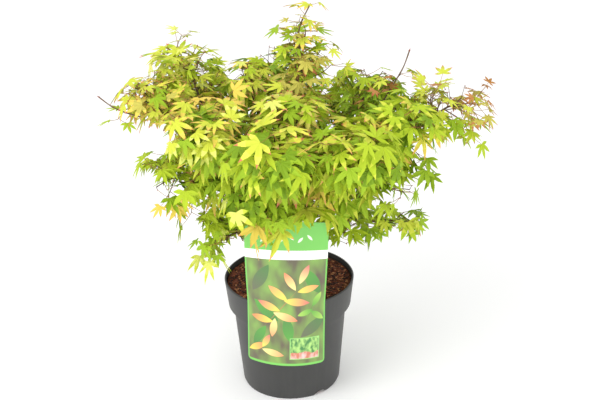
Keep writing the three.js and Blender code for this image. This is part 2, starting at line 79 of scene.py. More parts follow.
# The photograph's view, in metres: where it was taken from, what it was aimed at, how far it is
# turned about that line in degrees, and the focal length on a sensor, both in millimetres
CAMERA_PLACE = np.array((0, -1.782, 1.108))
CAMERA_AIM = (0.0185, 0, 0.2899)
CAMERA_ROLL = -1.28
FOCAL_LENGTH, SENSOR_WIDTH = 81.99, 36

# The crown's plan, in millimetres. The limbs, the masses and the first pairs of twigs repeat
# the part's source, and the long shoots end near its own.
CROWN_REACH = np.array([(-262, -232, 175), (294, 234, 592)])
CROWN_HEART = np.array([0.0, 0.0, 320.0])
TRUNK_FOOT_Z = 165.3
TRUNK_FORK_Z = 222
TRUNK_POINTS = [
    (0, 0, TRUNK_FOOT_Z),
    (-1.5, 1, 0.65 * TRUNK_FOOT_Z + 0.35 * TRUNK_FORK_Z),
    (2.5, -1, 0.3 * TRUNK_FOOT_Z + 0.7 * TRUNK_FORK_Z),
    (5, -3, TRUNK_FORK_Z),
]
# Radii at the base and the tip: the trunk, limbs on the trunk, limbs on other limbs, long
# shoots, sprays, side twigs and finer twigs
TRUNK_RADIUS = (8.8, 6.8)
ROOT_FLARE = (4.7, 9)  # added radius, and how fast it fades
GRAFT = (1.3, 0.45, 0.12)  # added radius, and its share and spread along the trunk
SHOOT_RADIUS, SPRAY_RADIUS = (1.2, 0.75), (0.9, 0.5)
TWIG_RADIUS, FINE_RADIUS = (0.85, 0.5), (0.5, 0.35)
MAIN_RADIUS = (4.2, 2.1)
SIDE_RADIUS = (2.6, 1.8)
STEM_TIP_RADIUS = 1.0
TWIG_SPACING = 2.8

# name, (azimuth, out, height) of the middle, half sizes (out, across, up), limb it grows on,
# share of that limb where it leaves, tint
MASSES = [
    ("top", (45, 30, 472), (76, 76, 70), "trunk", 0.95, "gold"),
    ("left_wing", (186, 170, 440), (70, 78, 58), "trunk", 0.9, "gold"),
    ("front", (264, 148, 404), (88, 82, 68), "trunk", 0.86, "gold"),
    ("right", (343, 158, 402), (88, 82, 68), "trunk", 0.92, "lime"),
    ("back", (92, 160, 404), (88, 86, 68), "trunk", 0.88, "green"),
    ("upper_left", (157, 152, 480), (72, 70, 48), "left_wing", 0.5, "gold"),
    ("upper_back", (132, 74, 440), (70, 72, 56), "back", 0.45, "gold"),
    ("upper_right", (22, 120, 424), (78, 78, 56), "top", 0.35, "lime"),
    ("left_front", (226, 146, 422), (84, 80, 64), "left_wing", 0.42, "lime"),
    ("front_right", (302, 150, 396), (88, 82, 68), "front", 0.4, "lime"),
    ("right_wing", (359, 218, 424), (76, 68, 54), "right", 0.62, "lime"),
    ("back_right", (48, 160, 386), (88, 86, 66), "right", 0.36, "green"),
    ("back_left", (136, 172, 400), (88, 86, 66), "back", 0.36, "lime"),
    ("left_low", (196, 146, 346), (82, 78, 54), "left_wing", 0.3, "lime"),
    ("front_low", (252, 92, 334), (76, 82, 52), "front", 0.16, "lime"),
    ("right_low", (337, 134, 330), (80, 76, 56), "right", 0.3, "green"),
    ("back_low", (88, 136, 312), (90, 90, 56), "back", 0.24, "green"),
    ("low_left", (219, 100, 272), (70, 66, 52), "left_wing", 0.18, "lime"),
    ("low_right", (5, 150, 250), (64, 58, 46), "right", 0.18, "green"),
    ("upper_front", (276, 80, 420), (80, 84, 56), "front", 0.5, "gold"),
    ("low_front", (335, 92, 258), (64, 62, 48), "right", 0.08, "green"),
]

# Long shoots that stand out of the crown: points on the way and the tip, pairs of leaves
SHOOTS = {
    "top": ([(22, 20, 514), (23, 20, 540), (38, 20, 573)], 4),
    "left_wing": ([(-191, -60, 447), (-212, -46, 447), (-236, -22, 448), (-257, 0, 455)], 0),
    "upper_right": ([(131, 2, 430), (151, 14, 455), (167, 25, 478), (176, 30, 501)], 0),
}

# A mass's opposite pairs of side twigs: share of the stem, spread in degrees, rise of each of
# the two, length as a share of the half width. The first two are the source's own.
TWIG_PAIRS = [
    (0.42, 64, (-0.25, 0.2), 0.62),
    (0.76, 50, (0.4, 0.1), 0.56),
]
FINE_PAIRS = [
    (0.2, 72, (0.1, -0.3), 0.56),
    (0.94, 38, (-0.2, 0.1), 0.5),
]
# Twigs on the bough itself, that fill the crown between its masses
BOUGH_PAIRS = [
    (0.72, 62, (0.3, 0.05), 0.6),
]

# How much of a mass's half sizes the life-size leaves fill: out, across, above and below
TRIMS = {
    "upper_left": (1.0, 0.95, 0.5, 1.0),
    "left_wing": (0.95, 1.0, 0.85, 1.1),
    "upper_right": (1.0, 1.0, 0.72, 1.0),
    "right": (1.0, 1.0, 1.0, 1.15),
    "right_wing": (1.04, 1.0, 0.6, 1.35),
    "left_low": (0.95, 1.0, 0.9, 0.9),
    "right_low": (0.82, 1.0, 1.0, 1.0),
    "back_right": (0.9, 0.9, 0.9, 0.9),
    "upper_back": (0.9, 0.9, 0.7, 1.0),
    "low_left": (1.0, 0.9, 1.0, 0.9),
    "low_right": (0.95, 1.0, 1.0, 0.85),
}

# Sprays that hang or stand where the photograph shows them: mass, share of its stem, points on
# the way, pairs of leaves, leaf size, tints of the blade, of the lobes' middle and of their tips
SPRAYS = [
    ("front_low", 0.9, [(-38, -112, 330), (-32, -118, 306)], 2, 1.1, "honey honey apricot"),
    ("front_low", 0.7, [(-16, -110, 328), (-10, -118, 312)], 1, 1.05, "spring spring apricot"),
    ("front_low", 0.5, [(4, -96, 344), (34, -112, 324)], 3, 1.0, "lime lime lime"),
    ("right_low", 0.4, [(70, -74, 328), (52, -104, 312)], 3, 1.0, "fresh fresh lime"),
    ("front_right", 0.3, [(52, -104, 352), (30, -124, 334)], 3, 1.0, "spring spring lime"),
    ("upper_left", 0.8, [(-150, 59, 500), (-142, 59, 522)], 3, 0.6, "pale pale spring"),
    ("upper_left", 0.6, [(-138, 34, 488), (-149, 22, 499)], 2, 1.4, "spring lime rose"),
    ("upper_left", 0.4, [(-140, 30, 484), (-126, 20, 494)], 2, 1.15, "lime lime spring"),
    ("left_low", 0.9, [(-160, -60, 338), (-168, -62, 324)], 3, 0.85, "honey honey apricot"),
    ("front", 0.7, [(-14, -160, 452), (-19, -192, 468)], 2, 1.08, "spring yellow rose"),
    ("front_right", 0.2, [(44, -146, 436), (50, -178, 448)], 2, 1.02, "spring honey apricot"),
    ("front_right", 0.6, [(94, -70, 440), (98, -84, 450)], 2, 0.9, "spring honey rose"),
    ("left_wing", 0.9, [(-172, -46, 456), (-168, -62, 464)], 3, 0.95, "olive honey rust"),
    ("left_front", 0.5, [(-132, -52, 464), (-126, -68, 473)], 3, 0.9, "spring honey rose"),
    ("left_front", 0.8, [(-92, -66, 466), (-84, -80, 474)], 2, 0.75, "honey honey apricot"),
    ("upper_right", 0.8, [(128, 0, 446), (136, -6, 456)], 3, 0.6, "bronze rust rust"),
    ("left_low", 0.6, [(-132, -56, 322), (-134, -54, 300)], 3, 0.95, "lime lime spring"),
    ("right", 0.7, [(182, -40, 374), (194, -34, 352)], 3, 1.0, "fresh fresh lime"),
    ("top", 0.95, [(31, 18, 540), (23, 15, 552)], 2, 0.62, "olive olive rose"),
    ("top", 0.7, [(46, 18, 500), (58, 18, 518)], 3, 0.7, "spring spring rose"),
    ("top", 0.5, [(52, 15, 476), (66, 14, 488)], 2, 0.75, "spring spring apricot"),
    ("top", 0.6, [(36, 6, 500), (27, -8, 509)], 3, 0.85, "olive olive rust"),
    ("top", 0.3, [(30, 4, 476), (19, -20, 486)], 3, 0.95, "olive olive rose"),
    ("top", 0.1, [(24, 2, 458), (12, -34, 466)], 3, 1.0, "spring spring bronze"),
    ("upper_right", 0.7, [(150, 20, 458), (164, 20, 470)], 2, 0.7, "spring spring apricot"),
    ("right_wing", 0.4, [(204, 0, 446), (214, 0, 456)], 1, 0.8, "spring spring lime"),
    ("right_wing", 0.9, [(262, -4, 436), (275, 0, 450)], 3, 0.6, "bronze bronze rust"),
    ("right_wing", 0.8, [(250, -8, 434), (268, -9, 432)], 3, 0.7, "olive olive rust"),
    ("right_wing", 0.6, [(240, -12, 428), (262, -16, 414)], 2, 0.75, "spring spring bronze"),
    ("right_wing", 0.3, [(200, -8, 438), (206, -10, 448)], 2, 0.8, "spring spring olive"),
    ("right_wing", 0.5, [(214, -16, 438), (224, -26, 444)], 3, 0.85, "spring spring apricot"),
    ("right_wing", 0.7, [(246, -20, 412), (256, -20, 394)], 2, 0.9, "lime lime lime"),
    ("right_wing", 0.35, [(204, -20, 448), (209, -28, 464)], 2, 0.9, "spring olive rose"),
    ("right_wing", 0.85, [(254, -14, 430), (264, -22, 424)], 3, 0.72, "olive bronze rust"),
    ("low_left", 0.7, [(-100, -66, 264), (-105, -74, 252)], 2, 0.95, "pale spring spring"),
    ("left_wing", 0.7, [(-216, -8, 440), (-231, -8, 425)], 2, 0.8, "lime lime spring"),
]

# Where the photograph shows sky between the sprays, each seen along the camera's line: where the
# line meets the upright plane through the pot's axis, across and up, and the sky's radius
CLEARINGS = [
    (-182, 300, 12), (-75, 214, 12), (236, 450, 10), (-199, 323, 10), (165, 279, 10),
    (-139, 248, 10), (148, 214, 10), (106, 202, 10), (123, 484, 9), (-185, 399, 9),
    (90, 198, 9), (-38, 516, 9), (-198, 306, 8), (-199, 255, 9), (276, 415, 8), (-15, 528, 7),
    (157, 227, 7), (129, 211, 7), (-177, 379, 7), (-157, 309, 7), (-180, 366, 6), (75, 216, 7),
    (-64, 480, 6), (208, 437, 6), (-20, 501, 5), (225, 422, 6), (-94, 216, 6), (-104, 509, 5),
    (94, 246, 6), (91, 219, 6), (-116, 487, 5), (123, 280, 6), (-125, 229, 6), (178, 380, 5),
    (187, 357, 5), (213, 347, 5), (175, 309, 5), (142, 289, 6), (242, 411, 5), (-143, 346, 4),
    (-163, 391, 5), (-131, 527, 4), (45, 236, 11), (25, 229, 10), (36, 216, 9),
]


def unit(v):
    return v / np.linalg.norm(v)


def polar(azimuth, out, z):
    a = math.radians(azimuth)
    return np.array([out * math.cos(a), out * math.sin(a), z], float)


def seeded(seed):
    """The source's random numbers, so that the main twigs grow as they do there."""
    state = seed

    def draw(low, high):
        nonlocal state
        state = (state + 0x6D2B79F5) & 0xFFFFFFFF
        t = state
        t = ((t ^ (t >> 15)) * (t | 1)) & 0xFFFFFFFF
        t ^= (t + (((t ^ (t >> 7)) * (t | 61)) & 0xFFFFFFFF)) & 0xFFFFFFFF
        return low + (high - low) * (t ^ (t >> 14)) / 4294967296

    return draw


class Path:
    """A curve that is followed by its length, made of points close together."""

    def __init__(self, points):
        self.used = 0.0  # how far along it the last leaf or finer twig stands
        self.points = np.asarray(points, float)
        steps = np.linalg.norm(np.diff(self.points, axis=0), axis=1)
        self.run = np.concatenate([[0.0], np.cumsum(steps)])

    def at(self, share):
        reach = np.asarray(share) * self.run[-1]
        return np.stack([np.interp(reach, self.run, self.points[:, k]) for k in range(3)], -1)

    def along(self, share):
        return unit(self.at(min(share + 0.01, 1)) - self.at(max(share - 0.01, 0)))


def bezier(*controls):
    t = np.linspace(0, 1, 61)[:, None]
    level = [np.asarray(c, float) for c in controls]
    while len(level) > 1:
        level = [a * (1 - t) + b * t for a, b in zip(level, level[1:])]
    return Path(level[0])


def line_through(points):
    """A smooth curve through points, with speeds set by the root of their distances."""
    p = [np.asarray(q, float) for q in points]
    p = [2 * p[0] - p[1], *p, 2 * p[-1] - p[-2]]
    t = np.linspace(0, 1, 21)[:, None]
    runs = []
    for a, b, c, d in zip(p, p[1:], p[2:], p[3:]):
        u, v, w = (math.sqrt(np.linalg.norm(q)) for q in (b - a, c - b, d - c))
        start = v * ((b - a) / u - (c - a) / (u + v) + (c - b) / v)
        end = v * ((c - b) / v - (d - b) / (v + w) + (d - c) / w)
        bend = 3 * (c - b) - 2 * start - end
        runs.append(b + start * t + bend * t**2 + (2 * (b - c) + start + end) * t**3)
    return Path(np.concatenate([runs[0], *(r[1:] for r in runs[1:])]))


MIDDLES = {name: polar(*middle) for name, middle, *_ in MASSES}
SIZES = {name: math.prod(half) ** (1 / 3) for name, _, half, *_ in MASSES}
TRUNK = line_through(TRUNK_POINTS)


def trunk_radius(t):
    """The trunk's radius with its root flare and graft swelling, at a share of its length."""
    base, tip = TRUNK_RADIUS
    flare, fading = ROOT_FLARE
    graft, middle, spread = GRAFT
    swelling = graft * np.exp(-(((t - middle) / spread) ** 2))
    return base + (tip - base) * t + flare * np.exp(-fading * t) + swelling


def depth_in_cell(name, points):
    """How far points lie inside the planes that a mass shares with its neighbours."""
    depth = np.full(len(points), np.inf)
    own = ((points - MIDDLES[name]) ** 2).sum(-1) - SIZES[name] ** 2
    for other, middle in MIDDLES.items():
        if other != name:
            power = ((points - middle) ** 2).sum(-1) - SIZES[other] ** 2
            apart = 2 * np.linalg.norm(middle - MIDDLES[name])
            depth = np.minimum(depth, (power - own) / apart)
    return depth


def reach_in_mass(mass, points):
    """The points' distance from a mass's middle, as a share of its trimmed ellipsoid's."""
    name, (azimuth, _, _), half = mass[:3]
    out_trim, across_trim, above, below = TRIMS.get(name, (1, 1, 1, 1))
    a = math.radians(azimuth)
    from_middle = points - MIDDLES[name]
    out = from_middle @ np.array([math.cos(a), math.sin(a), 0]) / (half[0] * out_trim)
    side = from_middle @ np.array([-math.sin(a), math.cos(a), 0]) / (half[1] * across_trim)
    height = from_middle[:, 2] / half[2]
    height = height / np.where(height > 0, above, below)
    return np.sqrt(out**2 + side**2 + height**2)


def grow_limbs():
    """The boughs, by the source's rule: name to curve and end radii."""
    limbs = {}
    for name, _, half, on, leave, _ in MASSES:
        middle = MIDDLES[name]
        if on == "trunk":
            start = TRUNK.at(leave)
            level = (middle - start) * (1, 1, 0)
            heading = unit(0.6 * unit(level) + (0, 0, 1))
            radius = MAIN_RADIUS
        else:
            parent = limbs[on][0]
            start = parent.at(leave)
            heading = unit(unit(middle - start) + 0.8 * parent.along(leave))
            radius = SIDE_RADIUS
        back = unit(start - middle)
        reach = 0.5 * min(half[0], half[1])
        drop = min(0.5 * half[2], abs(back[2]) * reach)
        end = middle + (back[0] * reach, back[1] * reach, math.copysign(drop, back[2]))
        bend = start + heading * 0.5 * np.linalg.norm(end - start)
        limbs[name] = (bezier(start, bend, end), radius)
    return limbs


LIMBS = grow_limbs()


# The sizes and colours that can be changed


def rgb(red, green, blue):
    """A screen colour, 0 to 255, as linear red, green and blue."""
    share = [c / 255 for c in (red, green, blue)]
    return tuple(c / 12.92 if c <= 0.04045 else ((c + 0.055) / 1.055) ** 2.4 for c in share)


def length(name, description, default, **limits):
    return FloatProperty(
        name=name, description=description, default=default, unit="LENGTH", subtype="DISTANCE",
        precision=4, **limits,
    )


def tint(name, description, default):
    return FloatVectorProperty(
        name=name, description=description, default=default, subtype="COLOR", size=3, min=0, max=1,
    )


class MaplePot(bpy.types.PropertyGroup):
    height: length("Height", "From the foot to the rim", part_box("pot")[1].z)
    rim_radius: length("Rim radius", "Outside of the rim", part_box("pot")[1].x)
    wall: length("Wall", "Thickness of the wall", 0.0016)
    lip: length("Lip", "Width of the rim's top", 0.0024)
    sides: IntProperty(name="Sides", description="Sides of the round", default=128, min=32)
    colour: tint("Colour", "Plastic", rgb(58, 58, 57))


class MapleCompost(bpy.types.PropertyGroup):
    chips: IntProperty(name="Chips", description="Loose pieces on top", default=2000, min=0)
    chip_size: length("Chip size", "Length of a usual piece", 0.0044)
    relief: length("Relief", "Height of the lumps", 0.0034)
    colour: tint("Colour", "Dark moist compost", rgb(116, 54, 28))


class MapleLabel(bpy.types.PropertyGroup):
    width: length("Width", "Along the card", 0.1165)
    corner: length("Corner", "Radius of the corners", 0.006)
    thickness: length("Thickness", "Of the card", 0.0006)
    lean: FloatProperty(
        name="Lean", description="How far the card hangs askew", default=0.03, subtype="ANGLE"
    )
    green: tint("Green", "Header and border", rgb(118, 196, 88))


class MapleWood(bpy.types.PropertyGroup):
    voxel: length("Grain of the mesh", "Size of the mesh's cells", 0.0009)
    relief: length("Relief", "Depth of the bark's ridges", 0.0007)
    colour: tint("Colour", "Young bark", rgb(112, 92, 68))


class MapleLeaves(bpy.types.PropertyGroup):
    blade: length("Blade", "Length of the middle lobe", 0.0325)
    petiole: length("Petiole", "Usual length of a leaf's stalk", 0.018)
    droop: FloatProperty(name="Droop", description="How far lobes bend down", default=0.2)
    room: length("Room", "Usual distance between leaves side by side", 0.0235)
    layer: length("Layer", "Usual distance between leaves one over another", 0.012)
    tries: IntProperty(name="Tries", description="Poses tried for each leaf", default=24, min=1)


class MapleStage(bpy.types.PropertyGroup):
    floor_colour: tint("Floor", "Plain pale floor", (0.96, 0.96, 0.96))
    surround: FloatProperty(name="Surround", description="Light from all round", default=1.05)
    key: FloatProperty(name="Key", description="Light from the upper left", default=25)


# Meshes


def clear_selection():
    for thing in list(bpy.context.selected_objects):
        thing.select_set(False)
    bpy.context.view_layer.objects.active = None


def pick(thing):
    clear_selection()
    thing.select_set(True)
    bpy.context.view_layer.objects.active = thing


def edit(select="SELECT"):
    """Opens the active mesh in edit mode with all or none of it selected."""
    bpy.ops.object.mode_set(mode="EDIT")
    bpy.ops.mesh.select_all(action=select)


def leave_edit():
    bpy.ops.object.mode_set(mode="OBJECT")


def cut_across(places, direction):
    """Cuts the mesh in edit mode by planes square to a direction, so far from the origin."""
    for place in places:
        bpy.ops.mesh.select_all(action="SELECT")
        bpy.ops.mesh.bisect(plane_co=Vector(direction) * place, plane_no=direction)


def named(thing, name):
    thing.name = name
    thing.data.name = name
    return thing


def settle(thing):
    """Puts a piece's place into its mesh."""
    pick(thing)
    bpy.ops.object.transform_apply(location=True, rotation=True, scale=True)


def apply_modifier(thing, kind, name, **values):
    pick(thing)
    modifier = thing.modifiers.new(name, kind)
    for key, value in values.items():
        setattr(modifier, key, value)
    bpy.ops.object.modifier_apply(modifier=name)


def mesh_piece(name, vertices, faces, materials, face_slots):
    """A piece from points in millimetres and each face's material."""
    mesh = bpy.data.meshes.new(name)
    mesh.from_pydata((np.asarray(vertices) * MM).tolist(), [], faces)
    piece = bpy.data.objects.new(name, mesh)
    bpy.context.scene.collection.objects.link(piece)
    for material in materials:
        mesh.materials.append(material)
    mesh.polygons.foreach_set("material_index", np.asarray(face_slots, np.int32))
    mesh.update()
    return piece


def finish_piece(piece, slot, *nodes):
    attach(piece, "root")
    if nodes:
        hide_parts(*nodes)


def tube(points, radii, sides):
    """Rings along points, with closed ends: vertices and faces."""
    points = np.asarray(points, float)
    tangents = np.gradient(points, axis=0)
    tangents /= np.linalg.norm(tangents, axis=1, keepdims=True)
    chord = np.abs(points[-1] - points[0])
    guide = np.eye(3)[int(np.argmin(chord))]
    first = np.cross(tangents, guide)
    first /= np.linalg.norm(first, axis=1, keepdims=True)
    second = np.cross(tangents, first)
    turn = np.arange(sides) * 2 * math.pi / sides
    ring = first[:, None] * np.cos(turn)[:, None] + second[:, None] * np.sin(turn)[:, None]
    vertices = (points[:, None] + ring * np.asarray(radii, float)[:, None, None]).reshape(-1, 3)
    faces = []
    for i in range(len(points) - 1):
        for j in range(sides):
            k = (j + 1) % sides
            faces.append((i * sides + j, i * sides + k, (i + 1) * sides + k, (i + 1) * sides + j))
    faces.append(tuple(reversed(range(sides))))
    faces.append(tuple(range((len(points) - 1) * sides, len(points) * sides)))
    return vertices, faces


class Heap:
    """Many small things gathered to one mesh."""

    def __init__(self):
        self.vertices, self.faces, self.slots, self.count = [], [], [], 0

    def add(self, vertices, faces, slots):
        self.vertices.append(vertices)
        self.faces.extend(tuple(i + self.count for i in face) for face in faces)
        self.slots.extend([slots] * len(faces) if isinstance(slots, int) else slots)
        self.count += len(vertices)

    def piece(self, name, materials):
        vertices = np.concatenate(self.vertices)
        return mesh_piece(name, vertices, self.faces, materials, self.slots)


# Materials


def new_material(name, roughness, **values):
    """A Principled material: its node tree and shader. Values go on the shader's sockets."""
    material = bpy.data.materials.new(name)
    material.use_nodes = True
    tree = material.node_tree
    shader = tree.nodes["Principled BSDF"]
    shader.inputs["Roughness"].default_value = roughness
    for socket, value in values.items():
        shader.inputs[socket.replace("_", " ")].default_value = value
    return material, tree, shader


def node(tree, kind, inputs=None, **settings):
    made = tree.nodes.new(kind)
    for key, value in settings.items():
        setattr(made, key, value)
    for key, value in (inputs or {}).items():
        if isinstance(value, bpy.types.NodeSocket):
            tree.links.new(value, made.inputs[key])
        else:
            made.inputs[key].default_value = value
    return made


def object_place(tree):
    return node(tree, "ShaderNodeTexCoord").outputs["Object"]


def noise(tree, place, scale, detail, **inputs):
    values = {"Vector": place, "Scale": scale, "Detail": detail, **inputs}
    return node(tree, "ShaderNodeTexNoise", values).outputs[0]


def emboss(tree, shader, height, strength, distance):
    """Relief from a height, in metres at full strength."""
    values = {"Height": height, "Strength": strength, "Distance": distance}
    bump = node(tree, "ShaderNodeBump", values)
    tree.links.new(bump.outputs[0], shader.inputs["Normal"])


def maths(tree, operation, *values, clamp=False):
    made = node(tree, "ShaderNodeMath", dict(enumerate(values)), operation=operation)
    made.use_clamp = clamp
    return made.outputs[0]


def mixed(tree, factor, a, b):
    """A colour between a and b."""
    made = node(tree, "ShaderNodeMix", data_type="RGBA")
    for socket, value in ((made.inputs[0], factor), (made.inputs[6], a), (made.inputs[7], b)):
        if isinstance(value, bpy.types.NodeSocket):
            tree.links.new(value, socket)
        else:
            socket.default_value = value
    return made.outputs[2]


def new_group(name, inputs, outputs):
    """An empty shader group: its tree, input node and output node."""
    tree = bpy.data.node_groups.new(name, "ShaderNodeTree")
    for label, kind, value in inputs:
        socket = tree.interface.new_socket(name=label, in_out="INPUT", socket_type=kind)
        socket.default_value = value
    for label, kind in outputs:
        tree.interface.new_socket(name=label, in_out="OUTPUT", socket_type=kind)
    return tree, tree.nodes.new("NodeGroupInput"), tree.nodes.new("NodeGroupOutput")


def mottle_group():
    """Colour that wanders between three tones, with a height to go with it."""
    if "mottle" in bpy.data.node_groups:
        return bpy.data.node_groups["mottle"]
    colour, number = "NodeSocketColor", "NodeSocketFloat"
    tree, given, result = new_group(
        "mottle",
        [
            ("Stretch", "NodeSocketVector", (1, 1, 1)),
            ("Scale", number, 100.0),
            ("Dark", colour, (0, 0, 0, 1)),
            ("Middle", colour, (0.2, 0.2, 0.2, 1)),
            ("Light", colour, (0.5, 0.5, 0.5, 1)),
        ],
        [("Colour", colour), ("Height", number)],
    )
    both = {0: object_place(tree), 1: given.outputs["Stretch"]}
    stretched = node(tree, "ShaderNodeVectorMath", both, operation="MULTIPLY").outputs[0]
    coarse = noise(tree, stretched, given.outputs["Scale"], 5.0, Roughness=0.6)
    fine_scale = maths(tree, "MULTIPLY", given.outputs["Scale"], 3.7)
    fine = noise(tree, stretched, fine_scale, 3.0)
    low = maths(tree, "MULTIPLY_ADD", coarse, 4.0, -1.35, clamp=True)
    high = maths(tree, "MULTIPLY_ADD", fine, 5.0, -2.6, clamp=True)
    base = mixed(tree, low, given.outputs["Dark"], given.outputs["Middle"])
    tree.links.new(mixed(tree, high, base, given.outputs["Light"]), result.inputs["Colour"])
    tree.links.new(maths(tree, "ADD", coarse, fine), result.inputs["Height"])
    return tree


def mottled(name, roughness, scale, dark, middle, light, bump, stretch=(1, 1, 1)):
    """A material of three wandering tones with relief."""
    material, tree, shader = new_material(name, roughness)
    group = node(tree, "ShaderNodeGroup", node_tree=mottle_group())
    group.inputs["Stretch"].default_value = stretch
    group.inputs["Scale"].default_value = scale
    for socket, tone in (("Dark", dark), ("Middle", middle), ("Light", light)):
        group.inputs[socket].default_value = (*tone, 1)
    tree.links.new(group.outputs["Colour"], shader.inputs["Base Color"])
    emboss(tree, shader, group.outputs["Height"], bump, 0.0006)
    return material


def shade(tone, factor):
    return tuple(min(1.0, c * factor) for c in tone)


# The pot


def pot_material(colour):
    material, tree, shader = new_material("pot plastic", 0.5, Specular_IOR_Level=0.45)
    place = object_place(tree)
    drawn = node(tree, "ShaderNodeMapping", {"Vector": place, "Scale": (160, 160, 7)}).outputs[0]
    streaks = noise(tree, drawn, 1.0, 3.0)
    cloud = noise(tree, place, 26.0, 4.0)
    wander = maths(tree, "MULTIPLY_ADD", cloud, 0.6, maths(tree, "MULTIPLY", streaks, 0.4))
    level = maths(tree, "MULTIPLY_ADD", wander, 2.2, -0.6, clamp=True)
    tone = mixed(tree, level, (*shade(colour, 0.86), 1), (*shade(colour, 1.14), 1))
    specks = noise(tree, place, 900.0, 1.0)
    dust = maths(tree, "MULTIPLY_ADD", specks, 9.0, -6.1, clamp=True)
    dusty = mixed(tree, maths(tree, "MULTIPLY", dust, 0.35), tone, (*shade(colour, 2.2), 1))
    tree.links.new(dusty, shader.inputs["Base Color"])
    tree.links.new(maths(tree, "MULTIPLY_ADD", cloud, 0.16, 0.42), shader.inputs["Roughness"])
    emboss(tree, shader, streaks, 0.12, 0.0004)
    return material


# The pot's outside: radius and height, in metres
FOOT_RADIUS = 0.0705
FOOT_EDGE = (0.0723, 0.004)
STEP_FOOT = (0.0823, 0.117)
STEP_TOP = (0.0903, 0.128)
# Drainage notches and holes: how many, the first one's azimuth in degrees, how far out they
# stand and their radius
NOTCHES, FIRST_NOTCH, NOTCH_OUT, NOTCH_RADIUS = 3, 306, 0.0715, 0.01
HOLES, FIRST_HOLE, HOLE_OUT, HOLE_RADIUS = 4, 30, 0.042, 0.006


def draw_up(profile, start):
    """Extrudes the selected face along a profile of radius and height, in edit mode."""
    radius, z = start
    for next_radius, next_z in profile:
        bpy.ops.mesh.extrude_region_move(
            TRANSFORM_OT_translate={"value": (0, 0, next_z - z)}
        )
        scale = next_radius / radius
        bpy.ops.transform.resize(value=(scale, scale, 1), center_override=(0, 0, next_z))
        radius, z = next_radius, next_z


def select_edges(piece, wanted):
    """Selects the edges whose two ends are wanted, in edit mode."""
    shape = bmesh.from_edit_mesh(piece.data)
    for edge in shape.edges:
        edge.select_set(all(wanted(vertex.co) for vertex in edge.verts))
    bmesh.update_edit_mesh(piece.data)


def select_ring(piece, radius, z):
    """Selects the edges of the ring at a radius and height, in edit mode."""
    slack = 0.0002

    def on_ring(place):
        return abs(math.hypot(place.x, place.y) - radius) < slack and abs(place.z - z) < slack

    select_edges(piece, on_ring)


class MAPLE_OT_pot(bpy.types.Operator):
    """Draws the stepped pot up from its foot, over the lip and down to its floor"""

    bl_idname = "maple.pot"
    bl_label = "Pot"

    def execute(self, context):
        size = context.scene.maple_pot
        rim, top, wall = size.rim_radius, size.height, size.wall
        clear_selection()
        bpy.ops.mesh.primitive_circle_add(
            vertices=size.sides, radius=FOOT_RADIUS, fill_type="NGON", location=(0, 0, 0)
        )
        pot = named(context.object, "pot_shell")
        rim_edge = (rim, top - 0.001)
        lip_outside, lip_inside = (rim - 0.0008, top), (rim - size.lip, top)
        profile = [FOOT_EDGE, STEP_FOOT, STEP_TOP, rim_edge, lip_outside, lip_inside]
        profile.append((rim - size.lip - 0.0002, top - 0.004))
        profile += [(radius - wall, z) for radius, z in (STEP_TOP, STEP_FOOT)]
        profile.append((FOOT_EDGE[0] - wall, 0.005))
        profile.append((FOOT_EDGE[0] - wall - 0.003, 0.002))
        edit()
        draw_up(profile, (FOOT_RADIUS, 0))
        bevels = (0.0018, 0.0022, 0.003, 0.0004, 0.0004, 0.0005)
        for (radius, z), width in zip(profile, bevels):
            bpy.ops.mesh.select_all(action="DESELECT")
            select_ring(pot, radius, z)
            bpy.ops.mesh.bevel(offset=width, segments=4, affect="EDGES")
        bpy.ops.mesh.select_all(action="SELECT")
        bpy.ops.mesh.normals_make_consistent(inside=False)
        leave_edit()
        settle(pot)
        self.cut_drainage(pot)
        pick(pot)
        bpy.ops.object.shade_smooth_by_angle(angle=math.radians(32))
        pot.data.materials.append(pot_material(size.colour))
        finish_piece(pot, "pot", "pot")
        return {"FINISHED"}

    def cut_drainage(self, pot):
        """Three notches in the edge of the base and four round holes in the floor."""
        clear_selection()
        for i in range(NOTCHES):
            azimuth = FIRST_NOTCH + 360 // NOTCHES * i
            bpy.ops.mesh.primitive_cylinder_add(
                vertices=48, radius=NOTCH_RADIUS, depth=0.014,
                location=polar(azimuth, NOTCH_OUT, 0),
                rotation=(0, math.pi / 2, math.radians(azimuth)),
            )
            bpy.context.object.scale = (0.6, 1, 1)
        for i in range(HOLES):
            bpy.ops.mesh.primitive_cylinder_add(
                vertices=40, radius=HOLE_RADIUS, depth=0.008,
                location=polar(FIRST_HOLE + 360 // HOLES * i, HOLE_OUT, 0),
            )
        cutters = [o for o in bpy.data.objects if o.name.startswith("Cylinder")]
        for cutter in cutters:
            settle(cutter)
            apply_modifier(
                pot, "BOOLEAN", "drainage", operation="DIFFERENCE", object=cutter, solver="EXACT"
            )
            bpy.data.objects.remove(cutter)


# The compost


# The bed's foot, and its side under the brim as radius and height, in metres
BED_FOOT_RADIUS = 0.0672
BED_SIDE = [(0.0802, 0.117), (0.0882, 0.1283)]
# Crumbs of bark, flakes and fibres: width and thickness against length, length against the
# usual, share of all
CHIP_KINDS = [(0.5, 0.3, 1, 0.5), (0.75, 0.16, 1, 0.28), (0.16, 0.13, 1.7, 0.22)]
CHIP_TONES = [(54, 26, 17), (122, 62, 36), (184, 122, 80)]
CHIP_TONE_SHARES = (0.43, 0.36, 0.21)
BOX_FACES = [(0, 2, 3, 1), (4, 5, 7, 6), (0, 1, 5, 4), (2, 6, 7, 3), (0, 4, 6, 2), (1, 3, 7, 5)]


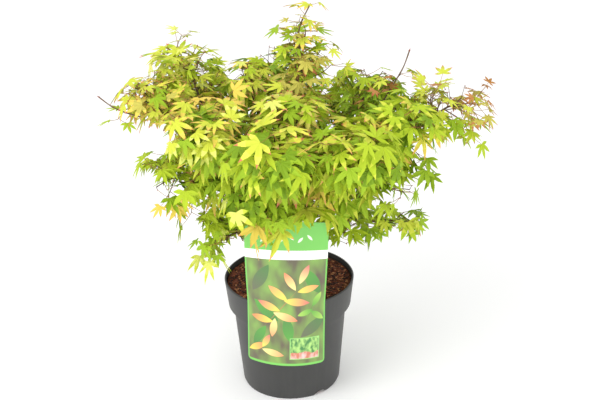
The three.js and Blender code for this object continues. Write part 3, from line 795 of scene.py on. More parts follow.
def chip(rng, long):
    """A loose piece of eight jittered corners, in millimetres."""
    kind = rng.choice(3, p=[share for *_, share in CHIP_KINDS])
    across, thick, stretch, _ = CHIP_KINDS[kind]
    box = np.array([(x, y, z) for z in (-1, 1) for y in (-1, 1) for x in (-1, 1)], float)
    box *= np.array([0.5, 0.5 * across, 0.5 * thick]) * long * stretch
    return box * rng.uniform(0.55, 1.15, box.shape)


def turned(points, yaw, pitch, roll):
    cy, sy, cp, sp, cr, sr = (f(a) for a in (yaw, pitch, roll) for f in (math.cos, math.sin))
    about_x = np.array([[1, 0, 0], [0, cr, -sr], [0, sr, cr]])
    about_y = np.array([[cp, 0, sp], [0, 1, 0], [-sp, 0, cp]])
    about_z = np.array([[cy, -sy, 0], [sy, cy, 0], [0, 0, 1]])
    return points @ (about_z @ about_y @ about_x).T


class MAPLE_OT_compost(bpy.types.Operator):
    """Fills the pot with lumpy compost and strews loose bark and fibre over it"""

    bl_idname = "maple.compost"
    bl_label = "Compost"

    def execute(self, context):
        size = context.scene.maple_compost
        low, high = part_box("compost")
        edge, crown = high.x, high.z
        brim = crown - 0.0025
        clear_selection()
        bpy.ops.mesh.primitive_circle_add(
            vertices=240, radius=BED_FOOT_RADIUS, fill_type="NGON", location=(0, 0, low.z)
        )
        bed = named(context.object, "compost_bed")
        edit()
        wall = [(BED_FOOT_RADIUS + 0.003, low.z + 0.003), *BED_SIDE, (edge, brim - 0.0025)]
        top = [(edge - 0.001, brim - 0.0008), (edge - 0.003, brim)]
        rings = np.linspace(edge - 0.0052, 0.004, 38)
        mound = [(r, brim + (crown - brim) * (1 - (r / edge)) ** 1.5) for r in rings]
        draw_up([*wall, *top, *mound], (BED_FOOT_RADIUS, low.z))
        leave_edit()
        settle(bed)
        relief = bed.vertex_groups.new(name="relief")
        seat = 0.012
        for vertex in bed.data.vertices:
            out = math.hypot(vertex.co.x, vertex.co.y)
            if vertex.co.z > brim - 0.0001:
                near_wall = min(1.0, (edge - out) / 0.005)
                near_trunk = min(1.0, max(0.0, (out - seat) / 0.01))
                relief.add([vertex.index], near_wall * near_trunk, "REPLACE")
        for name, grain, share in (("lumps", 0.011, 1.0), ("crumbs", 0.0032, 0.75)):
            cloud = bpy.data.textures.new(name, "CLOUDS")
            cloud.noise_scale = grain
            cloud.noise_depth = 2
            apply_modifier(
                bed, "DISPLACE", name, texture=cloud, strength=size.relief * share, mid_level=0.5,
                direction="Z", texture_coords="LOCAL", vertex_group="relief",
            )
        bpy.ops.object.shade_smooth_by_angle(angle=math.radians(50))
        bed.data.materials.append(
            mottled(
                "compost", 0.95, 420.0, shade(size.colour, 0.5), size.colour,
                rgb(118, 66, 40), bump=0.7,
            )
        )
        finish_piece(bed, "compost", "compost")
        self.strew(size, bed, edge)
        return {"FINISHED"}

    def strew(self, size, bed, edge):
        """Loose pieces pressed into the surface."""
        rng = np.random.default_rng(5)
        ground = BVHTree.FromObject(bed, bpy.context.evaluated_depsgraph_get())
        heap = Heap()
        for _ in range(size.chips):
            out = (edge - 0.005) * math.sqrt(rng.uniform(0.02, 1))
            around = rng.uniform(0, 2 * math.pi)
            x, y = out * math.cos(around), out * math.sin(around)
            hit = ground.ray_cast(Vector((x, y, 0.18)), Vector((0, 0, -1)))[0]
            shape = chip(rng, size.chip_size / MM * rng.uniform(0.5, 1.35))
            tilt = rng.normal(0, 0.22, 2)
            shape = turned(shape, rng.uniform(0, 6.3), *tilt)
            sunk = 0.25 * float(np.ptp(shape[:, 2]))
            place = np.array([x, y, hit.z]) / MM + (0, 0, sunk)
            out_tip = np.hypot(*(shape + place)[:, :2].T).max()
            if out_tip > edge / MM - 1.6:
                continue
            heap.add(shape + place, BOX_FACES, int(rng.choice(3, p=CHIP_TONE_SHARES)))
        materials = [
            mottled(
                f"bark chip {i}", 0.9, 700.0, shade(rgb(*tone), 0.55), rgb(*tone),
                shade(rgb(*tone), 1.5), bump=0.4,
            )
            for i, tone in enumerate(CHIP_TONES)
        ]
        finish_piece(heap.piece("compost_chips", materials), "compost")


# The label

LABEL_LOW, LABEL_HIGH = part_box("label")
LABEL_AZIMUTH = math.radians(266.4)
LABEL_RADIUS = 0.0954
RIM_TOP = 0.17
# The tongue as it is drawn, before it is bent: its width, where it starts and ends behind the
# card, its height and how far its end hangs down
TONGUE_WIDTH = 0.034
TONGUE_START, TONGUE_END = 0.0006, 0.005
TONGUE_Z = 0.1696
TONGUE_DROP = 0.0068


def petal_group():
    """A pointed oval of the print, on the card's own millimetres: its mask and a run along it."""
    number = "NodeSocketFloat"
    names = ("Across", "Up", "Centre X", "Centre Y", "Cosine", "Sine", "Long", "Wide")
    tree, given, result = new_group(
        "print petal", [(n, number, 1.0) for n in names], [("Mask", number), ("Along", number)]
    )
    value = given.outputs
    x = maths(tree, "SUBTRACT", value["Across"], value["Centre X"])
    y = maths(tree, "SUBTRACT", value["Up"], value["Centre Y"])
    u = maths(
        tree, "ADD", maths(tree, "MULTIPLY", x, value["Cosine"]),
        maths(tree, "MULTIPLY", y, value["Sine"]),
    )
    v = maths(
        tree, "SUBTRACT", maths(tree, "MULTIPLY", y, value["Cosine"]),
        maths(tree, "MULTIPLY", x, value["Sine"]),
    )
    run = maths(tree, "DIVIDE", u, value["Long"])
    taper = maths(tree, "SUBTRACT", 1.0, maths(tree, "MULTIPLY", run, run))
    half = maths(tree, "MULTIPLY", value["Wide"], taper)
    inside = maths(tree, "SUBTRACT", half, maths(tree, "ABSOLUTE", v))
    tree.links.new(maths(tree, "MULTIPLY", inside, 1.6, clamp=True), result.inputs["Mask"])
    along = maths(tree, "MULTIPLY_ADD", run, 0.5, 0.5, clamp=True)
    tree.links.new(along, result.inputs["Along"])
    return tree


# The print's motifs: centre, direction, half length and half width in millimetres, tones from
# the foot to the tip
YELLOW, PEACH, MOSS, SPRING = (246, 222, 92), (232, 122, 92), (88, 160, 62), (168, 208, 92)
FIR, CORAL, ROSE, WHITE = (78, 128, 66), (238, 150, 104), (206, 104, 110), (240, 246, 232)
SHADE, STRAW = (104, 104, 84), (250, 236, 150)
MOTIFS = [
    # soft leaves behind
    ((22, 140), 62, 26, 9, SHADE, FIR),
    ((96, 136), 118, 25, 9, FIR, MOSS),
    ((30, 88), 140, 24, 9, FIR, MOSS),
    ((98, 62), 40, 24, 9, SHADE, FIR),
    ((62, 60), 100, 22, 8, MOSS, FIR),
    ((20, 46), 60, 20, 7, FIR, MOSS),
    # a sprig that climbs from the left
    ((50, 92), 52, 46, 0.8, (168, 96, 80), (190, 130, 84)),
    ((24, 74), 172, 17, 6, YELLOW, PEACH),
    ((41, 62), 262, 16, 5.6, STRAW, CORAL),
    ((34, 96), 158, 18, 6.2, YELLOW, ROSE),
    ((58, 80), 340, 19, 6.2, STRAW, PEACH),
    ((47, 118), 140, 18, 6, YELLOW, CORAL),
    ((74, 104), 352, 19, 6.4, YELLOW, ROSE),
    ((64, 137), 120, 17, 5.6, STRAW, PEACH),
    ((90, 124), 14, 16, 5.6, YELLOW, CORAL),
    ((84, 148), 66, 17, 5.4, STRAW, ROSE),
    # a green sprig at the right
    ((95, 92), 70, 20, 0.8, (96, 120, 60), MOSS),
    ((104, 80), 320, 13, 4.8, MOSS, SPRING),
    ((86, 86), 200, 12, 4.6, MOSS, SPRING),
    ((103, 106), 60, 13, 4.8, MOSS, SPRING),
    # the leaves at the foot
    ((16, 26), 30, 16, 5.4, YELLOW, PEACH),
    ((40, 20), 348, 17, 5.6, STRAW, CORAL),
    ((30, 38), 64, 13, 4.8, YELLOW, ROSE),
    # a row of small leaves in the header
    ((26, 202), 50, 6, 2.2, WHITE, WHITE),
    ((39, 206), 130, 6, 2.2, WHITE, WHITE),
    ((52, 202), 50, 6, 2.2, WHITE, WHITE),
    ((65, 206), 130, 6, 2.2, WHITE, WHITE),
    ((78, 202), 50, 6, 2.2, WHITE, WHITE),
    ((91, 206), 130, 6, 2.2, WHITE, WHITE),
]
# The print's layout in millimetres: the picture and the small framed garden bed in it, each by
# its left, right, low and high edges, and the white band under the header
PRINT_WIDTH, PRINT_HEIGHT = 116.5, 230.0
PICTURE = (1.8, 114.7, 3.2, 230.0)
BED = (64.0, 108.0, 10.0, 46.0)
BAND_LOW, BAND_HIGH = 171.0, 185.5
EDGE_RISE = 1.2  # how fast a mask rises at its edges, for each millimetre


def print_material(green):
    """A header, a white band and a leafy panel with a framed bed, inside a green border."""
    material, tree, shader = new_material("label print", 0.34, Coat_Weight=0.25)
    uv = node(tree, "ShaderNodeUVMap", uv_map="card")
    flat = node(tree, "ShaderNodeSeparateXYZ", {0: uv.outputs[0]})
    across = maths(tree, "MULTIPLY", flat.outputs[0], PRINT_WIDTH)
    up = maths(tree, "MULTIPLY", flat.outputs[1], PRINT_HEIGHT)

    def blotches(scale, gain, shift, one, other):
        cloud = noise(tree, uv.outputs[0], scale, 2.0)
        level = maths(tree, "MULTIPLY_ADD", cloud, gain, shift, clamp=True)
        return mixed(tree, level, (*rgb(*one), 1), (*rgb(*other), 1))

    def within(left, right, low, high, margin=0.0):
        mask = 1.0
        for place, start, end in ((across, left, right), (up, low, high)):
            for gain, edge in ((EDGE_RISE, start + margin), (-EDGE_RISE, end - margin)):
                side = maths(tree, "MULTIPLY_ADD", place, gain, -gain * edge, clamp=True)
                mask = maths(tree, "MULTIPLY", side, mask)
        return mask

    def motifs(picture, rows):
        for (x, y), turn, long, wide, foot, tip in rows:
            made = node(tree, "ShaderNodeGroup", node_tree=petal)
            tree.links.new(across, made.inputs["Across"])
            tree.links.new(up, made.inputs["Up"])
            angle = math.radians(turn)
            for key, number in (
                ("Centre X", x), ("Centre Y", y), ("Cosine", math.cos(angle)),
                ("Sine", math.sin(angle)), ("Long", long), ("Wide", wide),
            ):
                made.inputs[key].default_value = number
            ink = mixed(tree, made.outputs["Along"], (*rgb(*foot), 1), (*rgb(*tip), 1))
            picture = mixed(tree, made.outputs["Mask"], picture, ink)
        return picture

    petal = petal_group()
    picture = blotches(4.2, 3.6, -1.3, (100, 93, 74), (130, 170, 80))
    picture = motifs(picture, [row for row in MOTIFS if row[0][1] < BAND_LOW])
    hedge = blotches(22.0, 4.0, -1.5, (70, 130, 70), (170, 214, 120))
    ground = blotches(16.0, 4.0, -1.5, (226, 196, 190), (200, 122, 96))
    hill = maths(tree, "MULTIPLY_ADD", noise(tree, uv.outputs[0], 7.0, 2.0), 14.0, 14.0)
    bed = mixed(tree, maths(tree, "GREATER_THAN", up, hill), ground, hedge)
    picture = mixed(tree, within(*BED), picture, (*rgb(150, 212, 120), 1))
    picture = mixed(tree, within(*BED, 1.1), picture, bed)
    plain = (*green, 1)
    card = mixed(tree, within(*PICTURE), plain, picture)
    card = mixed(tree, maths(tree, "GREATER_THAN", up, BAND_LOW), card, (*rgb(250, 250, 246), 1))
    header = motifs(plain, [row for row in MOTIFS if row[0][1] > BAND_HIGH])
    card = mixed(tree, maths(tree, "GREATER_THAN", up, BAND_HIGH), card, header)
    tree.links.new(card, shader.inputs["Base Color"])
    emboss(tree, shader, noise(tree, uv.outputs[0], 90.0, 1.0), 0.04, 0.0003)
    return material


def bend_radius(z):
    """The card's radius at a height: the pot's up to its rim, and nearly flat at the top."""
    free = np.clip((z - RIM_TOP) / (LABEL_HIGH.z - RIM_TOP), 0, 0.98)
    return LABEL_RADIUS / (1 - free)


class MAPLE_OT_label(bpy.types.Operator):
    """Cuts the card, wraps it round the rim's line and adds the tongue that hooks it on"""

    bl_idname = "maple.label"
    bl_label = "Label"

    def execute(self, context):
        size = context.scene.maple_label
        card = self.cut_card(size)
        tongue = self.bend_tongue(size)
        clear_selection()
        tongue.select_set(True)
        card.select_set(True)
        context.view_layer.objects.active = card
        bpy.ops.object.join()
        bpy.ops.object.shade_smooth_by_angle(angle=math.radians(40))
        self.colour(card, size)
        finish_piece(card, "label", "label")
        return {"FINISHED"}

    def wrap(self, piece, radius):
        """Bends a card that stands in the XZ plane round the pot, and less and less over its rim."""
        outwards = Vector((math.cos(LABEL_AZIMUTH), math.sin(LABEL_AZIMUTH), 0))
        sideways = Vector((-outwards.y, outwards.x, 0))
        for vertex in piece.data.vertices:
            bend = float(bend_radius(vertex.co.z))
            turn, reach = vertex.co.x / bend, bend + radius - LABEL_RADIUS - vertex.co.y
            out = LABEL_RADIUS - bend + reach * math.cos(turn)
            place = out * outwards + reach * math.sin(turn) * sideways
            vertex.co.xy = place.xy

    def cut_card(self, size):
        low, high = LABEL_LOW.z, LABEL_HIGH.z
        clear_selection()
        bpy.ops.mesh.primitive_plane_add(
            size=1, location=(0, 0, (low + high) / 2), rotation=(math.pi / 2, 0, 0)
        )
        card = named(bpy.context.object, "label_card")
        card.scale = (size.width, high - low, 1)
        settle(card)
        edit()
        bpy.ops.mesh.bevel(offset=size.corner, segments=7, affect="VERTICES")
        cut_across(np.linspace(-0.5, 0.5, 49)[1:-1] * size.width, (1, 0, 0))
        cut_across(np.linspace(RIM_TOP, high, 17)[:-1], (0, 0, 1))
        leave_edit()
        uv = card.data.uv_layers.new(name="card")
        for loop in card.data.loops:
            place = card.data.vertices[loop.vertex_index].co
            uv.data[loop.index].uv = (place.x / size.width + 0.5, (place.z - low) / (high - low))
        hung = Matrix.Translation((0, 0, RIM_TOP))
        card.data.transform(hung @ Matrix.Rotation(size.lean, 4, "Y") @ hung.inverted())
        self.wrap(card, LABEL_RADIUS)
        apply_modifier(card, "SOLIDIFY", "card", thickness=size.thickness, offset=1)
        return card

    def bend_tongue(self, size):
        """A strip over the rim and down inside it."""
        clear_selection()
        middle = (TONGUE_START + TONGUE_END) / 2
        bpy.ops.mesh.primitive_plane_add(size=1, location=(0, middle, TONGUE_Z))
        tongue = named(bpy.context.object, "label_tongue")
        tongue.scale = (TONGUE_WIDTH, TONGUE_END - TONGUE_START, 1)
        settle(tongue)
        edit("DESELECT")
        select_edges(tongue, lambda place: place.y > TONGUE_END - 0.001)
        hook = (0, 0, -TONGUE_DROP)
        bpy.ops.mesh.extrude_region_move(TRANSFORM_OT_translate={"value": hook})
        cut_across(np.linspace(-TONGUE_WIDTH / 2, TONGUE_WIDTH / 2, 15)[1:-1], (1, 0, 0))
        leave_edit()
        uv = tongue.data.uv_layers.new(name="card")
        for loop in uv.data:
            loop.uv = (0.5, 0.78)  # in the print's white band
        self.wrap(tongue, LABEL_RADIUS + TONGUE_START)
        apply_modifier(tongue, "SOLIDIFY", "tongue", thickness=0.0006, offset=0)
        return tongue

    def colour(self, card, size):
        """The print is on the outer face, and the rest is white card."""
        card.data.materials.append(print_material(size.green))
        white = rgb(236, 238, 230)
        tones = (shade(white, 0.94), white, shade(white, 1.04))
        card.data.materials.append(mottled("label back", 0.55, 60.0, *tones, bump=0.05))
        for face in card.data.polygons:
            outwards = Vector((face.center.x, face.center.y, 0)).normalized()
            faces_out = face.normal.dot(outwards) > 0.7
            is_print = faces_out and face.center.xy.length > LABEL_RADIUS + 0.0003
            face.material_index = 0 if is_print else 1


# The wood


def bark_material(colour):
    return mottled(
        "bark", 0.8, 120.0, shade(colour, 0.45), colour, shade(colour, 1.55),
        stretch=(2.2, 2.2, 0.8), bump=0.9,
    )


class MAPLE_OT_wood(bpy.types.Operator):
    """Joins the trunk and its boughs to one skeleton with bark in relief"""

    bl_idname = "maple.wood"
    bl_label = "Trunk and boughs"

    def execute(self, context):
        size = context.scene.maple_wood
        heap = Heap()
        shares = np.linspace(0, 1, 40)
        rings = TRUNK.at(shares)
        radii = trunk_radius(shares)
        radii[-1] *= 0.72  # a rounded fork
        rings[0, 2] -= 1.5  # down past the soil, where it is cut flat
        heap.add(*tube(rings, radii, 24), 0)
        for curve, (base, tip) in LIMBS.values():
            steps = np.linspace(0, 1, 26)
            heap.add(*tube(curve.at(steps), base + (tip - base) * steps, 12), 0)
        wood = heap.piece("wood", [bark_material(size.colour)])
        self.add_roots(wood)
        apply_modifier(wood, "REMESH", "skin", mode="VOXEL", voxel_size=size.voxel)
        for name, grain, share in (("ridges", 0.006, 1.0), ("flakes", 0.0022, 0.45)):
            cloud = bpy.data.textures.new(f"bark {name}", "CLOUDS")
            cloud.noise_scale = grain
            cloud.noise_depth = 2
            apply_modifier(
                wood, "DISPLACE", name, texture=cloud, strength=size.relief * share, mid_level=0.5,
                texture_coords="LOCAL",
            )
        self.cut_foot(wood)
        bpy.ops.object.shade_smooth_by_angle(angle=math.radians(60))
        finish_piece(wood, "bark", "trunk", *(f"bough_{mass[0]}" for mass in MASSES))
        return {"FINISHED"}

    def add_roots(self, wood):
        """The flare swells into a few ridges where the main roots go down."""
        for vertex in wood.data.vertices:
            place = vertex.co / MM
            out = math.hypot(place.x, place.y)
            if place.z < TRUNK_FOOT_Z + 15 and out < 20:
                around = math.atan2(place.y, place.x)
                swell = 1 + 0.16 * math.cos(5 * around + 0.7) * math.exp((TRUNK_FOOT_Z - place.z) / 5)
                vertex.co.x *= swell
                vertex.co.y *= swell

    def cut_foot(self, wood):
        """A flat cut on the compost."""
        pick(wood)
        edit()
        bpy.ops.mesh.bisect(
            plane_co=(0, 0, TRUNK_FOOT_Z * MM), plane_no=(0, 0, 1), clear_inner=True, use_fill=True
        )
        leave_edit()


# The crown

# Leaf tints as screen colours. The greens are partly the leaves' own colour and partly painted light:
# they are lightened for the light that shines through the thin blades
LEAF_TINTS = {
    "lime": (170, 192, 44),
    "spring": (198, 206, 68),
    "fresh": (148, 178, 40),
    "mid": (120, 152, 32),
    "deep": (88, 122, 24),
    "yellow": (228, 220, 84),
    # Pale and cream are partly the leaves' own tint and partly painted light: the glow of thin leaves
    # lit from behind at the crown's edge
    "pale": (214, 220, 108),
    "cream": (232, 226, 138),
    "apricot": (226, 170, 104),
    "rose": (208, 132, 96),
    "bronze": (184, 130, 76),
    "rust": (176, 100, 64),
    "honey": (222, 198, 86),
    "olive": (190, 182, 82),
    "stalk": (158, 118, 62),
}
# The tints of a spray's blades, of the lobes' middle and of their tips, and how often they come,
# for each mood of a mass
SPRAY_TINTS = {
    "gold": [
        ("yellow honey rose", 2), ("spring honey bronze", 2), ("spring honey apricot", 2),
        ("spring olive rose", 3), ("spring spring lime", 2), ("lime spring spring", 2),
        ("fresh fresh lime", 3), ("lime olive rose", 2), ("mid fresh fresh", 1),
        ("olive bronze rust", 1),
    ],
    "edged": [
        ("lime lime spring", 4), ("spring lime olive", 2), ("spring honey apricot", 1),
        ("fresh fresh lime", 3), ("lime spring apricot", 2), ("mid fresh fresh", 2),
        ("lime olive rose", 1),
    ],
    "rusty": [
        ("lime lime spring", 4), ("spring lime lime", 3), ("olive bronze rust", 2),
        ("spring olive rose", 2), ("fresh fresh lime", 3), ("bronze rust rust", 1),
        ("pale pale spring", 1),
    ],
    "warm": [
        ("spring olive rose", 3), ("spring honey apricot", 3), ("lime spring honey", 3),
        ("lime olive bronze", 2), ("fresh fresh lime", 3), ("mid fresh fresh", 2),
        ("olive honey rose", 1), ("pale spring apricot", 1),
    ],
    # Mostly pale and cream tints, partly painted light: the backlit glow at the crown's upper left
    # edge
    "soft": [
        ("spring pale pale", 3), ("spring spring pale", 4), ("lime spring spring", 3),
        ("fresh lime lime", 1), ("pale spring honey", 3), ("spring honey apricot", 2),
        ("lime olive rose", 1), ("cream pale apricot", 2),
    ],
    "tawny": [
        ("spring olive rose", 4), ("olive olive bronze", 3), ("spring honey apricot", 2),
        ("olive bronze rust", 1), ("lime spring olive", 3), ("pale honey rose", 1),
        ("fresh fresh olive", 3), ("spring spring apricot", 2),
    ],
    "fresh": [
        ("lime lime lime", 4), ("fresh fresh lime", 3), ("spring lime lime", 3),
        ("mid fresh fresh", 1), ("pale spring lime", 1),
    ],
    "lime": [
        ("lime lime lime", 4), ("spring lime lime", 3), ("lime spring spring", 2),
        ("fresh fresh fresh", 3), ("mid fresh fresh", 2), ("yellow honey apricot", 1),
        ("spring honey apricot", 1), ("spring pale spring", 1),
    ],
    # Besides the leaves' own greens, lime comes most often here: painted light that lightens the back
    # and low masses where the crown's shade falls
    "green": [
        ("fresh fresh fresh", 4), ("mid mid fresh", 2), ("lime lime lime", 5),
        ("deep mid mid", 1), ("lime spring spring", 2),
    ],
}
# The moods of masses that don't take the one named after their tint
MOODS = {
    "front": "edged", "upper_front": "warm", "upper_back": "tawny", "front_right": "edged",
    "right_wing": "rusty", "upper_right": "edged", "low_right": "lime", "front_low": "fresh",
    "upper_left": "soft", "top": "tawny", "low_left": "fresh",
}
# How much room the leaves of these masses take against the rest
ROOMS = {
    "low_right": 1.12, "right_low": 1.08, "low_front": 1.15, "back_right": 1.2, "back_low": 1.15,
    "left_low": 1.05, "right_wing": 0.98, "upper_back": 1.05,
}
# How large the leaves of these masses are against the rest
LEAF_SIZES = {
    "front": 1.25, "front_right": 1.2, "front_low": 1.15, "upper_front": 1.0, "left_front": 1.05,
    "top": 0.82, "upper_left": 0.82, "left_wing": 0.86, "upper_right": 0.82, "upper_back": 0.82,
    "right_wing": 0.82, "right": 0.95, "left_low": 0.92, "low_left": 0.95,
}

# A leaf's lobes: direction in degrees from the middle lobe, and length as a share of its length
LOBES = {
    "seven": [(-122, 0.28), (-80, 0.64), (-40, 0.92), (0, 1), (40, 0.92), (80, 0.64), (122, 0.28)],
    "five": [(-84, 0.58), (-41, 0.88), (0, 1), (41, 0.88), (84, 0.58)],
}
# One side of a lobe, with its teeth: along and across, as shares of the lobe and of the leaf
LOBE_EDGE = [
    (0.4, 0.104), (0.46, 0.1), (0.54, 0.114), (0.58, 0.098),
    (0.67, 0.09), (0.71, 0.07), (0.82, 0.05), (0.87, 0.03),
]
LOBE_CUTS = (2, 6)  # where the lobe's face is divided, for its bend and its tint


def leaf_template(lobes, seed):
    """A flat leaf of unit length: points, faces, each face's place on its lobe, and heights."""
    rng = np.random.default_rng(seed)
    angles = [math.radians(a + rng.uniform(-4, 4)) for a, _ in lobes]
    reaches = [r * rng.uniform(0.93, 1.07) for _, r in lobes]
    points, heights, faces, places = [(0.0, 0.0)], [0.0], [], []

    def put(radius, angle, height=0.0, across=0.0):
        c, s = math.cos(angle), math.sin(angle)
        points.append((radius * c - across * s, radius * s + across * c))
        heights.append(height)
        return len(points) - 1

    clefts = [put(0.05, angles[0] - 0.5)]
    for a, b, one, other in zip(angles, angles[1:], reaches, reaches[1:]):
        depth = 0.34 * (0.35 * max(one, other) + 0.65 * min(one, other))
        clefts.append(put(depth, (a + b) / 2, 0.03))
    clefts.append(put(0.05, angles[-1] + 0.5))
    for k, (angle, reach) in enumerate(zip(angles, reaches)):
        width = (0.5 + 0.5 * reach) * (1.2 if len(lobes) < 6 else 1)
        ribs = [put(LOBE_EDGE[cut][0] * reach, angle, -0.012) for cut in LOBE_CUTS]
        tip = put(reach, angle)
        for hand, cleft in ((-1, clefts[k]), (1, clefts[k + 1])):
            edge = [
                put(along * reach, angle, 0.012, across * width * hand)
                for along, across in LOBE_EDGE
            ]
            low, high = LOBE_CUTS
            rows = [
                [0, cleft, *edge[: low + 1], ribs[0]],
                [ribs[0], *edge[low : high + 1], ribs[1]],
                [ribs[1], *edge[high:], tip],
            ]
            faces += [row if hand < 0 else row[::-1] for row in rows]
            places += [0, 1, 2]
    return np.array(points), faces, places, np.array(heights)


TEMPLATES = [leaf_template(LOBES["seven"], 1)]
TEMPLATES += [leaf_template(LOBES["five"], seed) for seed in (4, 5, 6)]

# How a leaf may stand: its stalk's angle from the twig at the tip and at the sides, its roll
# about the twig and its pitch down, in degrees, and its stalk's rise
TIP_SPREAD, SIDE_SPREAD, ROLL, STEEPEST = (0, 25), (35, 85), (-60, 60), -72
STALK_RISE = (-0.45, 0.4)
# Shares of the way: where leaves stand on a side twig, where finer twigs leave it, and where
# leaves stand on a stem and its knots swell
TWIG_LEAVES, FINE_TWIGS, STEM_LEAVES = (0.98, 0.62, 0.3), (0.45, 0.8), (0.3, 0.6)
STEM_KNOTS = sorted(row[0] for row in TWIG_PAIRS + FINE_PAIRS)
# Leaves droop more in low masses: by these degrees where a mass's middle has these heights, and
# by up to so many more
DROOP_HEIGHTS, LEAST_DROOP, MORE_DROOP = (280, 460), (24, -8), (52, 38)
# A leaf's spokes that are tested: degrees from its middle lobe, and length as a share of it
SPOKES = ((0, 1), (40, 0.93), (-40, 0.93), (77, 0.7), (-77, 0.7))
# Its heart, which keeps its distance: how far along it, and how large against the open sky
HEART_SHARE, HEART_SIZE = 0.42, 0.26
# Other leaves matter this near, in millimetres, and past this much room one pose is as good as
# another
NEARBY, ENOUGH_ROOM = 95, 3.0
# Where no leaf goes, in millimetres: low down over the pot, and at the card
POT_CLEAR_Z, POT_CLEAR_RADIUS = 175, 104
CARD_CLEAR_Z, CARD_GAP, CARD_HALF_WIDTH = 308, 6, 62
MOST_LEAVES = 6000


class Crown:
    """Every leaf set so far, so that the next keeps its distance."""

    def __init__(self, size):
        self.size = size
        self.hearts = np.empty((MOST_LEAVES, 3))
        self.faces = np.empty((MOST_LEAVES, 3))
        self.count = 0

    def pose(self, rng, node, twig, hand, scale, droop):
        """Several poses at a node: joints, along, side and normal axes, lengths."""
        n = self.size.tries
        sideways = unit(np.array([-twig[1], twig[0], 0.001]))
        upwards = np.cross(twig, sideways)
        spread = np.radians(rng.uniform(*(TIP_SPREAD if hand == 0 else SIDE_SPREAD), n))
        roll = np.radians(rng.uniform(*ROLL, n)) + (math.pi if hand < 0 else 0)
        reach = np.outer(np.cos(spread), twig)
        reach += np.outer(np.sin(spread) * np.cos(roll), sideways)
        reach += np.outer(np.sin(spread) * np.sin(roll), upwards)
        reach[:, 2] = np.clip(reach[:, 2], *STALK_RISE)
        reach /= np.linalg.norm(reach, axis=1, keepdims=True)
        stalk = self.size.petiole / MM * rng.uniform(0.7, 1.35, n)
        joint = node + reach * stalk[:, None]
        away = (joint - CROWN_HEART) * (1, 1, 0)
        away /= np.linalg.norm(away, axis=1, keepdims=True)
        level = reach * (1, 1, 0)
        level /= np.linalg.norm(level, axis=1, keepdims=True)
        across = np.stack([-level[:, 1], level[:, 0], np.zeros(n)], 1)
        yaw = (np.clip((away * across).sum(1), -0.2, 0.2) + rng.normal(0, 0.5, n))[:, None]
        level = level * np.cos(yaw) + across * np.sin(yaw)
        pitch = np.arcsin(reach[:, 2]) - np.radians(rng.uniform(*droop, n))
        pitch = np.maximum(pitch, math.radians(STEEPEST))[:, None]
        along = level * np.cos(pitch) + np.array([0, 0, 1]) * np.sin(pitch)
        normal = np.array([0, 0, 1]) + away * rng.uniform(-0.1, 0.5, (n, 1))
        normal += rng.normal(0, 0.3, (n, 3))
        normal -= along * (normal * along).sum(1, keepdims=True)
        normal /= np.linalg.norm(normal, axis=1, keepdims=True)
        side = np.cross(normal, along)
        blade = self.size.blade / MM * scale * rng.uniform(0.84, 1.12, n)
        return joint, along, side, normal, blade

    def best(self, rng, mass, node, twig, hand, scale, free, limit):
        """The pose that keeps to the mass, unless it is free, and is farthest from other leaves."""
        height = mass[1][2]
        low = np.interp(height, DROOP_HEIGHTS, LEAST_DROOP)
        droop = (low, low + np.interp(height, DROOP_HEIGHTS, MORE_DROOP))
        joint, along, side, normal, blade = self.pose(rng, node, twig, hand, scale, droop)
        n = len(blade)
        rim = [joint]
        for angle, share in SPOKES:
            a = math.radians(angle)
            spoke = along * math.cos(a) + side * math.sin(a) - normal * self.size.droop * share
            rim.append(joint + spoke * (share * blade)[:, None])
        rim = np.stack(rim, 1).reshape(-1, 3)
        fits = self.clear_of_pot(rim).reshape(n, -1).all(1)
        if not free:
            overhang = 9 + 20 * max(0, limit - 1.1)
            fits &= (depth_in_cell(mass[0], rim) > -overhang).reshape(n, -1).all(1)
            fits &= (reach_in_mass(mass, rim) < limit).reshape(n, -1).all(1)
        heart = joint + along * (HEART_SHARE * blade)[:, None]
        fits &= self.clear_of_sky(heart, HEART_SIZE * blade)
        if not fits.any():
            return None
        room = np.full(n, ENOUGH_ROOM)
        near = ((self.hearts[: self.count] - node) ** 2).sum(1) < NEARBY**2
        if near.any():
            apart = heart[:, None] - self.hearts[: self.count][near]
            lift = np.abs((apart * self.faces[: self.count][near]).sum(2))
            lift = np.maximum(lift, np.abs((apart * normal[:, None]).sum(2)))
            flat = np.sqrt(np.maximum((apart**2).sum(2) - lift**2, 0))
            roomy = ROOMS.get(mass[0], 1)
            across, over = roomy * self.size.room / MM, roomy * self.size.layer / MM
            room = np.minimum(ENOUGH_ROOM, np.hypot(flat / across, lift / over).min(1))
        room[~fits] = -1
        i = int(np.argmax(room))
        if room[i] < 1 and not free:
            return None
        self.hearts[self.count] = heart[i]
        self.faces[self.count] = normal[i]
        self.count += 1
        return node, joint[i], along[i], side[i], normal[i], blade[i]

    def clear_of_pot(self, points):
        """Points off the pot, the compost and the card, and within the crown's reach."""
        x, y, z = points.T
        low = (z < POT_CLEAR_Z) & (np.hypot(x, y) < POT_CLEAR_RADIUS)
        c, s = math.cos(LABEL_AZIMUTH), math.sin(LABEL_AZIMUTH)
        bend = bend_radius(LABEL_HIGH.z) * 1000  # as flat all over as at its top edge
        out = x * c + y * s - LABEL_RADIUS * 1000 + bend
        across = y * c - x * s
        off = np.abs(np.hypot(out, across) - bend)
        beside = np.abs(np.arctan2(across, out)) * bend
        at_card = (z < CARD_CLEAR_Z) & (off < CARD_GAP) & (beside < CARD_HALF_WIDTH)
        beyond = (points < CROWN_REACH[0]) | (points > CROWN_REACH[1])
        return ~(low | at_card | beyond.any(1)) & self.clear_of_sky(points, 0)

